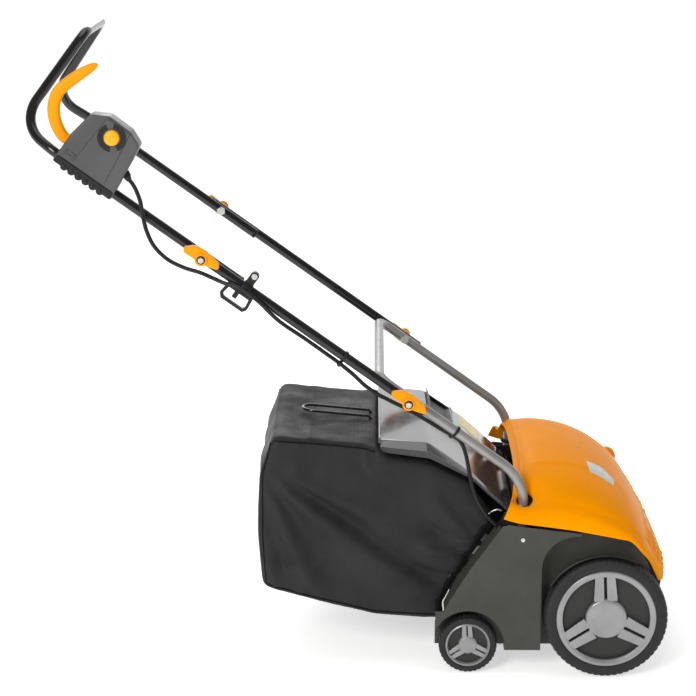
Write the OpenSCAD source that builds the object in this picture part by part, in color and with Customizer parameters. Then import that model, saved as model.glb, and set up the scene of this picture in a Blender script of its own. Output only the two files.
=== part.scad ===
// Electric lawn dethatcher with a folding handle and a fabric collector.
// +X is forwards, +Y is the machine's left side, +Z is up.

/* [Chassis] */
// Width over the outer skins of the side panels
chassis_w = 524; // [480:1:600]
// Wall thickness of the moulded plastic panels
panel_wall = 3; // [2:0.5:4]
// Distance between the inner chassis walls
tunnel_w = 416; // [380:1:430]

/* [Wheels] */
// Diameter of a front wheel
front_wheel_d = 210; // [180:1:216]
// Width of a front wheel
front_wheel_w = 40; // [30:1:44]
// Diameter of a rear wheel
rear_wheel_d = 100; // [84:1:110]
// Width of a rear wheel
rear_wheel_w = 26; // [20:1:28]
// Distance from the front axle back to the rear axle
wheelbase = 234; // [228:1:245]
// Width over the outer faces of the front wheels
track_w = 560; // [540:1:620]

/* [Rotor] */
// Diameter over the tips of the knives
knife_d = 130; // [100:1:134]
// Number of knives along the rotor
knife_count = 14; // [8:1:15]
// Thickness of a knife
knife_t = 2; // [1.5:0.5:4]
// Diameter of the rotor's shaft
rotor_shaft_d = 20; // [14:1:22]

/* [Motor] */
// Diameter of the motor's housing
motor_d = 96; // [80:1:100]
// Length of the motor's housing
motor_len = 130; // [100:1:150]
// Pitch diameter of the motor's belt pulley
motor_pulley_d = 32; // [26:1:36]
// Pitch diameter of the rotor's belt pulley
rotor_pulley_d = 60; // [50:1:64]

/* [Handle] */
// Slope of the folding handle above the ground
handle_angle = 35.5; // [33:0.5:38]
// Diameter of the handle tubes
tube_d = 17; // [15:0.5:18]
// Wall of the handle tubes
tube_wall = 1.4; // [1:0.1:2]
// Distance between the two fold bolts of one side
mid_pivot_len = 421; // [400:1:480]
// Spacing of the lower handle's legs, centre to centre
leg_spacing = 446; // [440:1:452]
// Distance from the upper fold bolt to the rear bend
upper_len = 371; // [365:1:420]
// Height of the grip loop above the handle's line
grip_rise = 176; // [150:1:200]

/* [Collector bag] */
// Width of the collector bag
bag_w = 424; // [380:1:424]
// Thickness of the bag's wall
bag_wall = 3; // [2:0.5:5]

/* [Fits] */
// Radial clearance of a turning fit
run_gap = 0.05; // [0.02:0.01:0.09]
// Gap between parts that pass each other
pass_gap = 1; // [0.8:0.1:1.4]

/* [Hidden] */
$fn = 64;
eps = 0.01;

// Shared heights and places, measured from the front axle on the ground
panel_y = chassis_w / 2;
wall_y = tunnel_w / 2;
inner_wall_t = 4;
leg_y = leg_spacing / 2;
tube_r = tube_d / 2;
mid_y = leg_y + tube_d + pass_gap;
front_r = front_wheel_d / 2;
rear_r = rear_wheel_d / 2;
rotor_x = -146;
rotor_z = knife_d / 2 + 12;
motor_x = -45;
motor_z = 254;
crank_arm = 20;
crank_angle = 20;
axle_x = -crank_arm * cos(crank_angle);
axle_z = front_r + crank_arm * sin(crank_angle);
axle_r = 8;
hinge_x = -158;
hinge_z = 262;
pivot_x = -338;
pivot_z = 477;
leg_x = -141;
leg_foot_z = 224;
bolt_r = 4;
nose_x = 116;

// The handle's line: u runs up the handle from the lower fold bolt, w is square to it
cos_a = cos(handle_angle);
sin_a = sin(handle_angle);
function hx(u, w) = pivot_x - u * cos_a + w * sin_a;
function hz(u, w) = pivot_z + u * sin_a + w * cos_a;
function hp(u, y, w) = [hx(u, w), y, hz(u, w)];
mid_front_end = -33;
mid_rear_end = mid_pivot_len + 26;
upper_front_end = mid_pivot_len - 76;
bend_u = mid_pivot_len + upper_len;

module machine() {
    translate([shift_x, 0, 0]) children();
}
module on_handle(u, w) {
    translate([hx(u, w), 0, hz(u, w)]) rotate([0, handle_angle, 0]) children();
}
// A flat shape drawn in X and Z, made solid from y0 to y1
module slab(y0, y1) {
    translate([0, y1, 0]) rotate([90, 0, 0]) linear_extrude(y1 - y0) children();
}
module y_rod(x, z, r, y0, y1) {
    translate([x, y1, z]) rotate([90, 0, 0]) cylinder(r = r, h = y1 - y0);
}
module both_sides() {
    children();
    mirror([0, 1, 0]) children();
}

// A round bar along a path of points, with a true arc at each inner point
function unit(v) = v / norm(v);
function turn(a, b, c) = acos(unit(b - a) * unit(c - b));
function inwards(a, b, c) = unit(unit(c - b) - unit(b - a) * cos(turn(a, b, c)));
function bend_centre(a, b, c, bend_r) =
    b - unit(b - a) * bend_r * tan(turn(a, b, c) / 2) + inwards(a, b, c) * bend_r;
function setback(p, i, radii) =
    (i <= 0 || i >= len(p) - 1) ? 0 : radii[i] * tan(turn(p[i - 1], p[i], p[i + 1]) / 2);
module bar(a, b, r) {
    d = b - a;
    along = unit(d);
    side = abs(along[2]) > 0.9 ? [1, 0, 0] : [0, 0, 1];
    right = unit(cross(side, along));
    front = cross(along, right);
    multmatrix([
        [right[0], front[0], along[0], a[0]],
        [right[1], front[1], along[1], a[1]],
        [right[2], front[2], along[2], a[2]],
        [0, 0, 0, 1]])
        cylinder(r = r, h = norm(d));
}
module elbow(a, b, c, bend_r, r) {
    d0 = unit(b - a);
    towards = inwards(a, b, c);
    axis = cross(d0, towards);
    centre = bend_centre(a, b, c, bend_r);
    multmatrix([
        [-towards[0], d0[0], axis[0], centre[0]],
        [-towards[1], d0[1], axis[1], centre[1]],
        [-towards[2], d0[2], axis[2], centre[2]],
        [0, 0, 0, 1]])
        rotate_extrude(angle = turn(a, b, c)) translate([bend_r, 0]) circle(r = r);
}
// The straight lengths run a little way into the bends, which are a hair thicker
bend_lap = 0.8;
bend_extra = 0.06;
module round_bar(p, radii, r, over = 0) {
    last = len(p) - 1;
    for (i = [0 : last - 1]) {
        d = unit(p[i + 1] - p[i]);
        a = p[i] + d * (i == 0 ? -over : setback(p, i, radii) - bend_lap);
        b = p[i + 1] - d * (i == last - 1 ? -over : setback(p, i + 1, radii) - bend_lap);
        bar(a, b, r);
    }
    for (i = [1 : last - 1]) elbow(p[i - 1], p[i], p[i + 1], radii[i], r + bend_extra);
}
module tube(p, radii) {
    difference() {
        round_bar(p, radii, tube_r);
        round_bar(p, radii, tube_r - tube_wall, over = 1);
    }
}

// A cable: a round tube swept along a smooth curve through hand-chosen points
cable_d = 7;
cable_sides = 10;
cable_steps = 2;
function spline(p0, p1, p2, p3, t) =
    0.5 * (2 * p1 + (p2 - p0) * t + (2 * p0 - 5 * p1 + 4 * p2 - p3) * t * t
    + (3 * p1 - p0 - 3 * p2 + p3) * t * t * t);
function smooth(p) = concat([
    for (i = [0 : len(p) - 2]) for (k = [0 : cable_steps - 1])
        spline(p[max(i - 1, 0)], p[i], p[i + 1], p[min(i + 2, len(p) - 1)], k / cable_steps)],
    [p[len(p) - 1]]);
module cable(points) {
    path = smooth(points);
    n = len(path);
    dirs = [for (i = [0 : n - 1]) unit(path[min(i + 1, n - 1)] - path[max(i - 1, 0)])];
    rings = [for (i = [0 : n - 1]) for (k = [0 : cable_sides - 1])
        let (right = unit(cross([0, 1, 0], dirs[i])), up = cross(dirs[i], right))
        path[i] + (right * cos(k * 360 / cable_sides) + up * sin(k * 360 / cable_sides)) * cable_d / 2];
    walls = [for (i = [0 : n - 2]) for (k = [0 : cable_sides - 1])
        let (j = (k + 1) % cable_sides, a = i * cable_sides, b = a + cable_sides)
        [a + k, b + k, b + j, a + j]];
    ends = [[for (k = [0 : cable_sides - 1]) k],
        [for (k = [cable_sides - 1 : -1 : 0]) (n - 1) * cable_sides + k]];
    polyhedron(rings, concat(walls, ends));
}
// The cable's route, from the switch box down to the motor, in three lengths that clear each other
// when the handle folds
route_top = [[-800, -238, 852], [-790, -239, 838], [-781, -241, 815], [-777, -242, 790],
    [-771, -243, 765], [-759, -244, 740], [-737, -244, 718]];
route_mid = [[-727.5, -244, 711.5], [-709, -244, 704], [-685, -246, 697], [-664, -246.5, 688], [-645, -249, 680],
    [-628, -255, 676], [-612, -257.5, 670], [-596, -257.5, 658], [-581, -255, 644],
    [-567, -250, 628], [-548, -245, 610], [-508, -243, 582], [-453, -243, 542],
    [-429, -241, 521], [-411, -238.5, 503], [-389.5, -237.2, 487.3]];
route_low = [[-387.8, -236.2, 486.2], [-376, -228, 478], [-361, -216, 467], [-341, -208, 455],
    [-311, -206.5, 437], [-285, -206.5, 421], [-264, -207.5, 409], [-249, -210, 398.5],
    [-240, -211.5, 378], [-234, -215, 350], [-229, -218.5, 324], [-221, -221, 300],
    [-208, -223, 278], [-192, -224, 259], [-176, -224, 247], [-159, -224, 243]];

// Outlines of the side: the panel, the two wheel arches and the chassis wall
panel_outline = [[-275, 111], [-265, 132], [-232, 186], [-178, 262], [-165, 265], [-44, 251],
    [-44, 42], [-290, 42], [-290, 111]];
wall_outline = [[-262, 44], [-273, 109], [-263, 132], [-230, 186], [-178, 260], [-172, 272],
    [-112, 272], [-106, 232], [52, 226], [82, 190], [94, 152], [90, 126], [60, 112], [20, 84],
    [-60, 44]];
arch_half = 110;
arch_top_z = 246;
arch_corner_r = 60;
module front_arch(grow) {
    corner_x = arch_half - arch_corner_r;
    corner_z = arch_top_z - arch_corner_r;
    translate([-arch_half - grow, -10]) square([2 * (arch_half + grow), corner_z + 10]);
    translate([-corner_x, 0]) square([2 * corner_x, arch_top_z + grow]);
    for (side = [-1, 1]) translate([side * corner_x, corner_z]) circle(r = arch_corner_r + grow);
}
module rear_arch(grow) {
    translate([-wheelbase, rear_r]) circle(r = rear_r + 12 + grow);
    translate([-wheelbase - rear_r - 12 - grow, -10]) square([2 * (rear_r + 12 + grow), rear_r + 10]);
}
belt_y0 = wall_y + inner_wall_t + 4;
belt_w = 9;
belt_t = 3;
belt_gap = 0.4;
pocket_y = belt_y0 + belt_w + 3;

// ---- chassis ----
tunnel_r = knife_d / 2 + 7;
module tunnel_arc() {
    difference() {
        circle(r = tunnel_r + 4);
        circle(r = tunnel_r);
        translate([-200, -200]) square([400, 175]);
        translate([-200, -200]) square([200, 400]);
    }
}
module chassis_shell() color([0.13, 0.13, 0.12]) machine() difference() {
    union() {
        both_sides() slab(wall_y, wall_y + inner_wall_t) polygon(wall_outline);
        slab(-wall_y, wall_y) {
            translate([rotor_x, rotor_z]) tunnel_arc();
            polygon([[-148, rotor_z + tunnel_r], [-144, rotor_z + tunnel_r], [-144, 258], [-148, 258]]);
            polygon([[-146, 196], [78, 196], [74, 200], [-146, 200]]);
            polygon([[74, 200], [78, 196], [92, 152], [88, 126], [84, 127], [88, 152]]);
            polygon([[-226, 52], [-222, 54], [-258, 106], [-262, 104]]);
        }
        both_sides() {
            y_rod(rotor_x, rotor_z, 23, wall_y - 10, wall_y + eps);
            y_rod(axle_x, axle_z, 14, wall_y - 10, wall_y + eps);
            y_rod(-wheelbase, rear_r, 12, wall_y - 12, wall_y + eps);
        }
        for (side = [-1, 1]) translate([motor_x - 40, side * motor_len / 4 - 4, 199])
            cube([80, 8, motor_z - 199 - 20]);
        translate([-158, -wall_y - 20, 236]) cube([7, 18, 14]);
    }
    both_sides() {
        y_rod(rotor_x, rotor_z, 16, wall_y - 8, wall_y + 10);
        y_rod(rotor_x, rotor_z, rotor_shaft_d / 2 + 2, wall_y - 20, wall_y + 10);
        y_rod(axle_x, axle_z, axle_r + run_gap, wall_y - 20, wall_y + 10);
        y_rod(-wheelbase, rear_r, 6, wall_y - 20, wall_y + 10);
        y_rod(leg_x, foot_bolt_z, bolt_r + run_gap, wall_y - 20, wall_y + 10);
        y_rod(leg_x, foot_bolt_z, 9, wall_y - 8, wall_y);
        y_rod(hinge_x, hinge_z, 3 + run_gap, wall_y - 20, wall_y + 10);
    }
    y_rod(motor_x, motor_z, motor_d / 2, -motor_len, motor_len);
}
// The panel box: outer skin, wheel arch liners, pocket backs and rear rim
module side_panel_solid() {
    slab(panel_y - panel_wall, panel_y) difference() {
        polygon(panel_outline);
        front_arch(0);
        rear_arch(0);
    }
    slab(pocket_y, panel_y) {
        intersection() {
            polygon(panel_outline);
            difference() {
                front_arch(panel_wall);
                front_arch(0);
            }
        }
        intersection() {
            polygon(panel_outline);
            difference() {
                rear_arch(panel_wall);
                rear_arch(0);
            }
        }
    }
    slab(pocket_y, pocket_y + panel_wall) {
        intersection() {
            front_arch(panel_wall);
            polygon([[-113, 42], [-113, 247], [-44, 251], [46, 230], [74, 190], [84, 152],
                [84, 126], [60, 108], [60, 42]]);
        }
        intersection() {
            polygon(panel_outline);
            rear_arch(panel_wall);
        }
    }
    slab(wall_y + inner_wall_t, panel_y) intersection() {
        difference() {
            polygon(panel_outline);
            translate([3, -2]) polygon(panel_outline);
            rear_arch(0);
        }
        polygon([[-290, 111], [-275, 111], [-180, 258], [-195, 270]]);
    }
    slab(wall_y + inner_wall_t, panel_y) translate([-126, 236]) square([10, 5]);
}
module side_panel_cuts() {
    y_rod(axle_x, axle_z, axle_r + 2, pocket_y - 5, pocket_y + 10);
    y_rod(-wheelbase, rear_r, 6 + 1, pocket_y - 5, pocket_y + 10);
    y_rod(-143, 240, 2, panel_y - 10, panel_y + 1);
}
module side_panel_right() color([0.19, 0.19, 0.18]) machine() mirror([0, 1, 0]) difference() {
    side_panel_solid();
    side_panel_cuts();
    y_rod(-182, 252, 6, wall_y, wall_y + 26);
}
module side_panel_left() color([0.19, 0.19, 0.18]) machine() difference() {
    side_panel_solid();
    side_panel_cuts();
}
module panel_screws() color("silver") machine() both_sides() {
    y_rod(-143, 240, 1.9, panel_y - 12, panel_y);
    y_rod(-143, 240, 3.5, panel_y, panel_y + 1.5);
}
// A crowned cover: slices of the side outline, lower and wider towards the sides
hood_crown = [[-150, 292], [-152, 332], [-128, 344], [-93, 347], [-49, 341], [5, 318], [41, 288],
    [79, 232], [104, 186], [nose_x, 168], [nose_x - 4, 150], [60, 150]];
hood_shoulder = [[-156, 288], [-158, 318], [-128, 331], [-93, 334], [-49, 328], [5, 306], [42, 278],
    [76, 228], [100, 184], [106, 166], [60, 160]];
hood_side = [[-168, 280], [-166, 296], [-140, 306], [-90, 308], [-40, 302], [15, 284], [50, 256],
    [80, 220], [90, 206], [60, 216]];
hood_edge = [[-175, 276], [-170, 283], [-90, 277], [-10, 264], [22, 250], [38, 238], [-163, 269]];
module hood_body(trim) {
    hull() {
        slab(-90, 90) polygon(hood_crown);
        slab(-165 + trim, 165 - trim) polygon(hood_shoulder);
        slab(-238 + trim, 238 - trim) polygon(hood_side);
        slab(-panel_y + trim, panel_y - trim) polygon(hood_edge);
    }
}
module hood() color([1, 0.55, 0]) machine() difference() {
    hood_body(0);
    translate([-4.5, 0, -3.5]) hood_body(3);
    translate([-260, -wall_y - 4, 100]) cube([120, 2 * wall_y + 8, 190]);
    both_sides() {
        slab(panel_y - panel_wall - 0.5, panel_y + 1) translate([0.5, 1.5]) polygon(panel_outline);
        translate([leg_x - 12, leg_y - 12, 200]) cube([24, 24, 180]);
        translate([-185, leg_y - 14, 294]) cube([45, 28, 90]);
    }
}
module front_bumper() color([0.1, 0.1, 0.1]) machine() difference() {
    hull() {
        slab(-100, 100) polygon([[96, 152], [nose_x - 3, 147], [nose_x - 8, 128], [92, 124]]);
        slab(-204, 204) polygon([[94, 150], [100, 147], [97, 130], [90, 124]]);
    }
    hull() {
        slab(-98, 98) polygon([[80, 160], [nose_x - 7, 160], [nose_x - 12, 120], [80, 120]]);
        slab(-201, 201) polygon([[80, 160], [98, 160], [94.5, 120], [80, 120]]);
    }
}

// ---- motor, belt and rotor ----
module motor_housing() color([0.2, 0.2, 0.22]) machine() difference() {
    union() {
        y_rod(motor_x, motor_z, motor_d / 2 - 0.3, -motor_len / 2, motor_len / 2);
        y_rod(motor_x, motor_z, 22, motor_len / 2 - eps, motor_len / 2 + 12);
        y_rod(motor_x, motor_z, 30, -motor_len / 2 - 10, -motor_len / 2 + eps);
    }
    y_rod(motor_x, motor_z, 6 + run_gap, -20, motor_len);
    for (a = [0 : 30 : 330]) translate([motor_x, 0, motor_z]) rotate([0, a, 0])
        translate([motor_d / 2 - 4, -motor_len / 2 + 12, -3]) cube([6, 30, 6]);
}
module motor_shaft() color("silver") machine()
    y_rod(motor_x, motor_z, 6, -18, belt_y0 + belt_w + 1);
module pulley(x, z, d, bore_r) {
    difference() {
        union() {
            y_rod(x, z, d / 2, belt_y0 - 1.5, belt_y0 + belt_w + 1.5);
            for (y = [belt_y0 - 2, belt_y0 + belt_w + 0.5])
                y_rod(x, z, d / 2 + belt_t + 0.5, y, y + 1.5);
        }
        y_rod(x, z, bore_r, belt_y0 - 5, belt_y0 + belt_w + 5);
    }
}
module motor_pulley() color([0.6, 0.6, 0.6]) machine()
    pulley(motor_x, motor_z, motor_pulley_d, 6);
module rotor_pulley() color([0.15, 0.15, 0.15]) machine()
    pulley(rotor_x, rotor_z, rotor_pulley_d, rotor_shaft_d / 2);
// The belt's outline: both circles and the two straight runs between them
belt_dx = motor_x - rotor_x;
belt_dz = motor_z - rotor_z;
belt_len = sqrt(belt_dx * belt_dx + belt_dz * belt_dz);
belt_dir = atan2(belt_dz, belt_dx);
module belt_shape(grow) {
    r1 = rotor_pulley_d / 2 + grow;
    r2 = motor_pulley_d / 2 + grow;
    lean = acos((r1 - r2) / belt_len);
    a = (r1 - run_gap) * [cos(lean), sin(lean)];
    b = [belt_len, 0] + (r2 - run_gap) * [cos(lean), sin(lean)];
    translate([rotor_x, rotor_z]) rotate(belt_dir) {
        circle(r = r1);
        translate([belt_len, 0]) circle(r = r2);
        polygon([a, b, [b[0], -b[1]], [a[0], -a[1]]]);
    }
}
module drive_belt() color([0.05, 0.05, 0.05]) machine() difference() {
    slab(belt_y0, belt_y0 + belt_w) belt_shape(belt_t);
    slab(belt_y0 - 1, belt_y0 + belt_w + 1) belt_shape(belt_gap);
}
module rotor_bearings() color("silver") machine() both_sides() difference() {
    y_rod(rotor_x, rotor_z, 16, wall_y - 8, wall_y + 2);
    y_rod(rotor_x, rotor_z, rotor_shaft_d / 2 + run_gap, wall_y - 10, wall_y + 4);
}
module rotor_shaft() color("silver") machine()
    y_rod(rotor_x, rotor_z, rotor_shaft_d / 2, -wall_y - 4, belt_y0 + belt_w + 3);
knife_span = tunnel_w - 56;
knife_pitch = knife_span / (knife_count - 1);
knife_y0 = -knife_span / 2;
module knife_shape() {
    tip_r = knife_d / 2;
    difference() {
        union() {
            circle(r = 21);
            for (a = [0, 120, 240]) rotate(a)
                polygon([[10, -12], [tip_r - 14, -9], [tip_r - 2, -3], [tip_r - 2, 5], [tip_r - 16, 8],
                    [10, 14]]);
        }
        circle(r = rotor_shaft_d / 2);
    }
}
module rotor_knives() color([0.45, 0.45, 0.47]) machine() for (i = [0 : knife_count - 1])
    translate([rotor_x, knife_y0 + i * knife_pitch + knife_t / 2, rotor_z]) rotate([90, 0, 0])
        rotate(i * 42) linear_extrude(knife_t) knife_shape();
module rotor_spacers() color([0.3, 0.3, 0.32]) machine() for (i = [0 : knife_count - 2]) difference() {
    y = knife_y0 + i * knife_pitch + knife_t / 2;
    y_rod(rotor_x, rotor_z, 15, y, y + knife_pitch - knife_t);
    y_rod(rotor_x, rotor_z, rotor_shaft_d / 2, y - 1, y + knife_pitch);
}

// ---- wheels and axles ----
crank_y = pocket_y + panel_wall + 1.5;
crank_t = 3;
wheel_in_y = track_w / 2 - front_wheel_w;
stub_r = 6;
// The cranked axle: the wheels' stubs stand out from the pivot line
module front_axle() color("silver") machine() {
    y_rod(axle_x, axle_z, axle_r, -crank_y - crank_t, crank_y + crank_t);
    both_sides() slab(crank_y, crank_y + crank_t) {
        translate([axle_x, axle_z]) circle(r = 12);
        translate([0, front_r]) circle(r = 10);
        translate([axle_x, axle_z]) rotate(-crank_angle) translate([0, -9]) square([crank_arm, 18]);
    }
    both_sides() y_rod(0, front_r, stub_r, crank_y, track_w / 2 - 6);
}
lever_foot_y = crank_y + crank_t;
lever_out_y = panel_y + 6;
// The depth lever: up inside the arch, out over the tyre, then up beside the hood
lever_t = 3;
lever_turn = [33, 216];
knob_at = [53, 235];
module strip(a, b, width) {
    d = b - a;
    translate(a) rotate(atan2(d[1], d[0])) translate([0, -width / 2]) square([norm(d), width]);
    for (p = [a, b]) translate(p) circle(d = width + 2 * bend_extra);
}
module depth_lever() color([0.12, 0.12, 0.12]) machine() {
    slab(lever_foot_y, lever_foot_y + lever_t) {
        strip([axle_x, axle_z], lever_turn, 12);
        translate([axle_x, axle_z]) circle(r = 13);
    }
    y_rod(lever_turn[0], lever_turn[1], 4, lever_foot_y, lever_out_y + lever_t);
    slab(lever_out_y, lever_out_y + lever_t) strip(lever_turn, knob_at, 8);
}
module depth_knob() color([1, 0.55, 0]) machine() difference() {
    y_rod(knob_at[0], knob_at[1], 17, lever_out_y - 2, lever_out_y + 8);
    slab(lever_out_y, lever_out_y + lever_t) strip(lever_turn, knob_at, 8);
}
module depth_plate() color("silver") machine() slab(pocket_y + panel_wall, pocket_y + panel_wall + 1)
    translate([axle_x, axle_z]) difference() {
        circle(r = 52);
        circle(r = 32);
        translate([-60, -60]) square([120, 72]);
        for (a = [50, 65, 80, 95, 110]) rotate(a) translate([44, 0]) circle(r = 3);
    }

module wheel_tyre(d, w, rim_r, x, z, y_in) {
    translate([x, y_in + w, z]) rotate([90, 0, 0]) rotate_extrude() difference() {
        union() {
            translate([rim_r, 0]) square([d / 2 - rim_r - 3, w]);
            translate([rim_r, 3]) square([d / 2 - rim_r, w - 6]);
            for (y = [3, w - 3]) translate([d / 2 - 3, y]) circle(r = 3);
        }
        for (y = [w * 0.36, w * 0.64]) translate([d / 2 - 1.5, y - 1]) square([2, 2]);
    }
}
// The wheel's dark body: rim, hub and a disc set back from the outer face
trim_depth = 0.25;
module wheel_body(d, w, rim_r, x, z, y_in, bore_r) {
    disc_y = w * trim_depth;
    translate([x, y_in + w, z]) rotate([90, 0, 0]) rotate_extrude() {
        translate([rim_r - 5, disc_y]) square([5, w - disc_y - 1]);
        translate([bore_r, w * 0.14]) square([d * 0.08, w * 0.86 - 0.5]);
        translate([bore_r + 1, disc_y]) square([rim_r - bore_r - 2, 4]);
    }
}
// The silver trim: ring, three double spokes and the hub cap, in front of the disc
module wheel_trim(d, w, rim_r, x, z, y_in) {
    depth = w * trim_depth;
    ring_r = rim_r - 0.3;
    cap_r = d * 0.165;
    ring_w = d * 0.036;
    spoke_w = d * 0.075;
    translate([x, y_in + w - depth, z]) rotate([-90, 0, 0]) {
        difference() {
            cylinder(r = ring_r, h = depth - 0.5);
            translate([0, 0, -1]) cylinder(r = ring_r - ring_w, h = depth + 2);
        }
        difference() {
            cylinder(r = cap_r, h = depth);
            translate([0, 0, -1]) cylinder(r = cap_r - 2.5, h = depth - 0.5);
        }
        for (a = [0, 120, 240]) rotate(a - 87) for (side = [-1, 1])
            translate([cap_r - 1, side * d * 0.05 - spoke_w / 2, depth * 0.4])
                cube([ring_r - cap_r - ring_w + 2, spoke_w, depth * 0.35]);
    }
}
front_rim_r = front_r * 0.815;
rear_rim_r = rear_r * 0.78;
module front_wheel_parts(kind) machine() {
    if (kind == "tyre") wheel_tyre(front_wheel_d, front_wheel_w, front_rim_r, 0, front_r, wheel_in_y);
    if (kind == "body")
        wheel_body(front_wheel_d, front_wheel_w, front_rim_r, 0, front_r, wheel_in_y, stub_r + run_gap);
    if (kind == "trim") wheel_trim(front_wheel_d, front_wheel_w, front_rim_r, 0, front_r, wheel_in_y);
}
rear_in_y = panel_y - rear_wheel_w;
rear_stub_r = 5;
module rear_wheel_parts(kind) machine() {
    x = -wheelbase;
    if (kind == "tyre") wheel_tyre(rear_wheel_d, rear_wheel_w, rear_rim_r, x, rear_r, rear_in_y);
    if (kind == "body")
        wheel_body(rear_wheel_d, rear_wheel_w, rear_rim_r, x, rear_r, rear_in_y, rear_stub_r + run_gap);
    if (kind == "trim") wheel_trim(rear_wheel_d, rear_wheel_w, rear_rim_r, x, rear_r, rear_in_y);
}
tyre_colour = [0.12, 0.12, 0.12];
wheel_colour = [0.16, 0.16, 0.15];
trim_colour = [0.62, 0.62, 0.62];
module front_tyre_left() color(tyre_colour) front_wheel_parts("tyre");
module front_wheel_left() color(wheel_colour) front_wheel_parts("body");
module front_trim_left() color(trim_colour) front_wheel_parts("trim");
module front_tyre_right() mirror([0, 1, 0]) front_tyre_left();
module front_wheel_right() mirror([0, 1, 0]) front_wheel_left();
module front_trim_right() mirror([0, 1, 0]) front_trim_left();
module rear_tyre_left() color(tyre_colour) rear_wheel_parts("tyre");
module rear_wheel_left() color(wheel_colour) rear_wheel_parts("body");
module rear_trim_left() color(trim_colour) rear_wheel_parts("trim");
module rear_tyre_right() mirror([0, 1, 0]) rear_tyre_left();
module rear_wheel_right() mirror([0, 1, 0]) rear_wheel_left();
module rear_trim_right() mirror([0, 1, 0]) rear_trim_left();
module rear_axles() color("silver") machine() both_sides() {
    y_rod(-wheelbase, rear_r, 6, wall_y - 10, rear_in_y - 1);
    y_rod(-wheelbase, rear_r, rear_stub_r, rear_in_y - 2, panel_y - 4);
}

// ---- folding handle ----
lower_path = [[leg_x, -leg_y, leg_foot_z], [leg_x, -leg_y, hz(0, 0) - (leg_x - pivot_x) * tan(handle_angle)],
    hp(60, -leg_y, 0), hp(60, leg_y, 0),
    [leg_x, leg_y, hz(0, 0) - (leg_x - pivot_x) * tan(handle_angle)], [leg_x, leg_y, leg_foot_z]];
lower_radii = [0, 85, 28, 28, 85, 0];
foot_bolt_z = 240;
module lower_handle() color([0.68, 0.67, 0.66]) machine() difference() {
    tube(lower_path, lower_radii);
    y_rod(pivot_x, pivot_z, bolt_r + run_gap, -leg_y - 20, leg_y + 20);
    y_rod(leg_x, foot_bolt_z, bolt_r + run_gap, -leg_y - 20, leg_y + 20);
}
module hex_nut(x, z, y0, y1) {
    translate([x, y1, z]) rotate([90, 0, 0]) cylinder(r = 7.5, h = y1 - y0, $fn = 6);
}
module lower_handle_bolts() color("silver") machine() both_sides() {
    y_rod(leg_x, foot_bolt_z, bolt_r, wall_y - 6, leg_y + tube_r + 1);
    hex_nut(leg_x, foot_bolt_z, wall_y - 6, wall_y);
    y_rod(leg_x, foot_bolt_z, 7, leg_y + tube_r, leg_y + tube_r + 4);
}
washer_t = 3;
cam_y = mid_y + tube_r + washer_t;
cam_t = 12;
module lock_bolt(u) {
    x = hx(u, 0);
    z = hz(u, 0);
    y_rod(x, z, bolt_r, leg_y - tube_r - 6, cam_y + cam_t + 5);
    hex_nut(x, z, leg_y - tube_r - 6, leg_y - tube_r);
    y_rod(x, z, 8, mid_y + tube_r, cam_y - 0.2);
    y_rod(x, z, 6, cam_y + cam_t + 3.2, cam_y + cam_t + 6);
}
module lock_bolts_lower() color("silver") machine() both_sides() lock_bolt(0);
module lock_bolts_upper() color("silver") machine() both_sides() lock_bolt(mid_pivot_len);
cam_outline = [[36, 1], [20, 14], [3, 16], [-27, 12], [-35, 2], [-18, -3], [0, -8], [11, -6], [30, -7]];
// One moulding serves both sides of the handle, so on the left it is turned over: up is 1 or -1
module cam_lever(u, up) color([1, 0.55, 0]) machine() difference() {
    on_handle(u, 0) {
        slab(cam_y, cam_y + cam_t) polygon([for (p = cam_outline) [-p[0], up * p[1]]]);
        y_rod(0, 0, 11, cam_y, cam_y + cam_t + 3);
    }
    y_rod(hx(u, 0), hz(u, 0), bolt_r + run_gap, cam_y - 5, cam_y + 30);
}
module cam_lever_lower_left() cam_lever(0, -1);
module cam_lever_lower_right() mirror([0, 1, 0]) cam_lever(0, 1);
module cam_lever_upper_left() cam_lever(mid_pivot_len, -1);
module cam_lever_upper_right() mirror([0, 1, 0]) cam_lever(mid_pivot_len, 1);
module mid_tube() color([0.08, 0.08, 0.08]) machine() difference() {
    bar(hp(mid_front_end, mid_y, 0), hp(mid_rear_end, mid_y, 0), tube_r);
    bar(hp(mid_front_end + 3, mid_y, 0), hp(mid_rear_end - 3, mid_y, 0), tube_r - tube_wall);
    for (u = [0, mid_pivot_len])
        y_rod(hx(u, 0), hz(u, 0), bolt_r + run_gap, mid_y - 20, mid_y + 20);
}
module mid_tube_left() mid_tube();
module mid_tube_right() mirror([0, 1, 0]) mid_tube();
side_u = mid_pivot_len + 300;
grip_bend_r = 60;
bend_y = 192;
grip_y = 112;
upper_half = [hp(upper_front_end, leg_y, 0), hp(side_u, leg_y, 0), hp(bend_u, bend_y, 0),
    hp(bend_u, grip_y, grip_rise)];
upper_radii = [0, 40, grip_bend_r, 35, 35, grip_bend_r, 40, 0];
upper_path = concat([for (p = upper_half) [p[0], -p[1], p[2]]],
    [for (i = [3 : -1 : 0]) upper_half[i]]);
// The machine's box is centred on the origin: the rearmost point is the grip's bend
rear_centre = bend_centre(upper_half[1], upper_half[2], upper_half[3], grip_bend_r);
rear_into = inwards(upper_half[1], upper_half[2], upper_half[3]);
rear_along = unit(upper_half[2] - upper_half[1]);
rear_reach = grip_bend_r * norm([rear_into[0], rear_along[0]]) + tube_r + bend_extra - rear_centre[0];
shift_x = (rear_reach - nose_x) / 2;
module upper_handle() color([0.05, 0.05, 0.05]) machine() difference() {
    tube(upper_path, upper_radii);
    y_rod(hx(mid_pivot_len, 0), hz(mid_pivot_len, 0), bolt_r + run_gap, -leg_y - 20, leg_y + 20);
}

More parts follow.
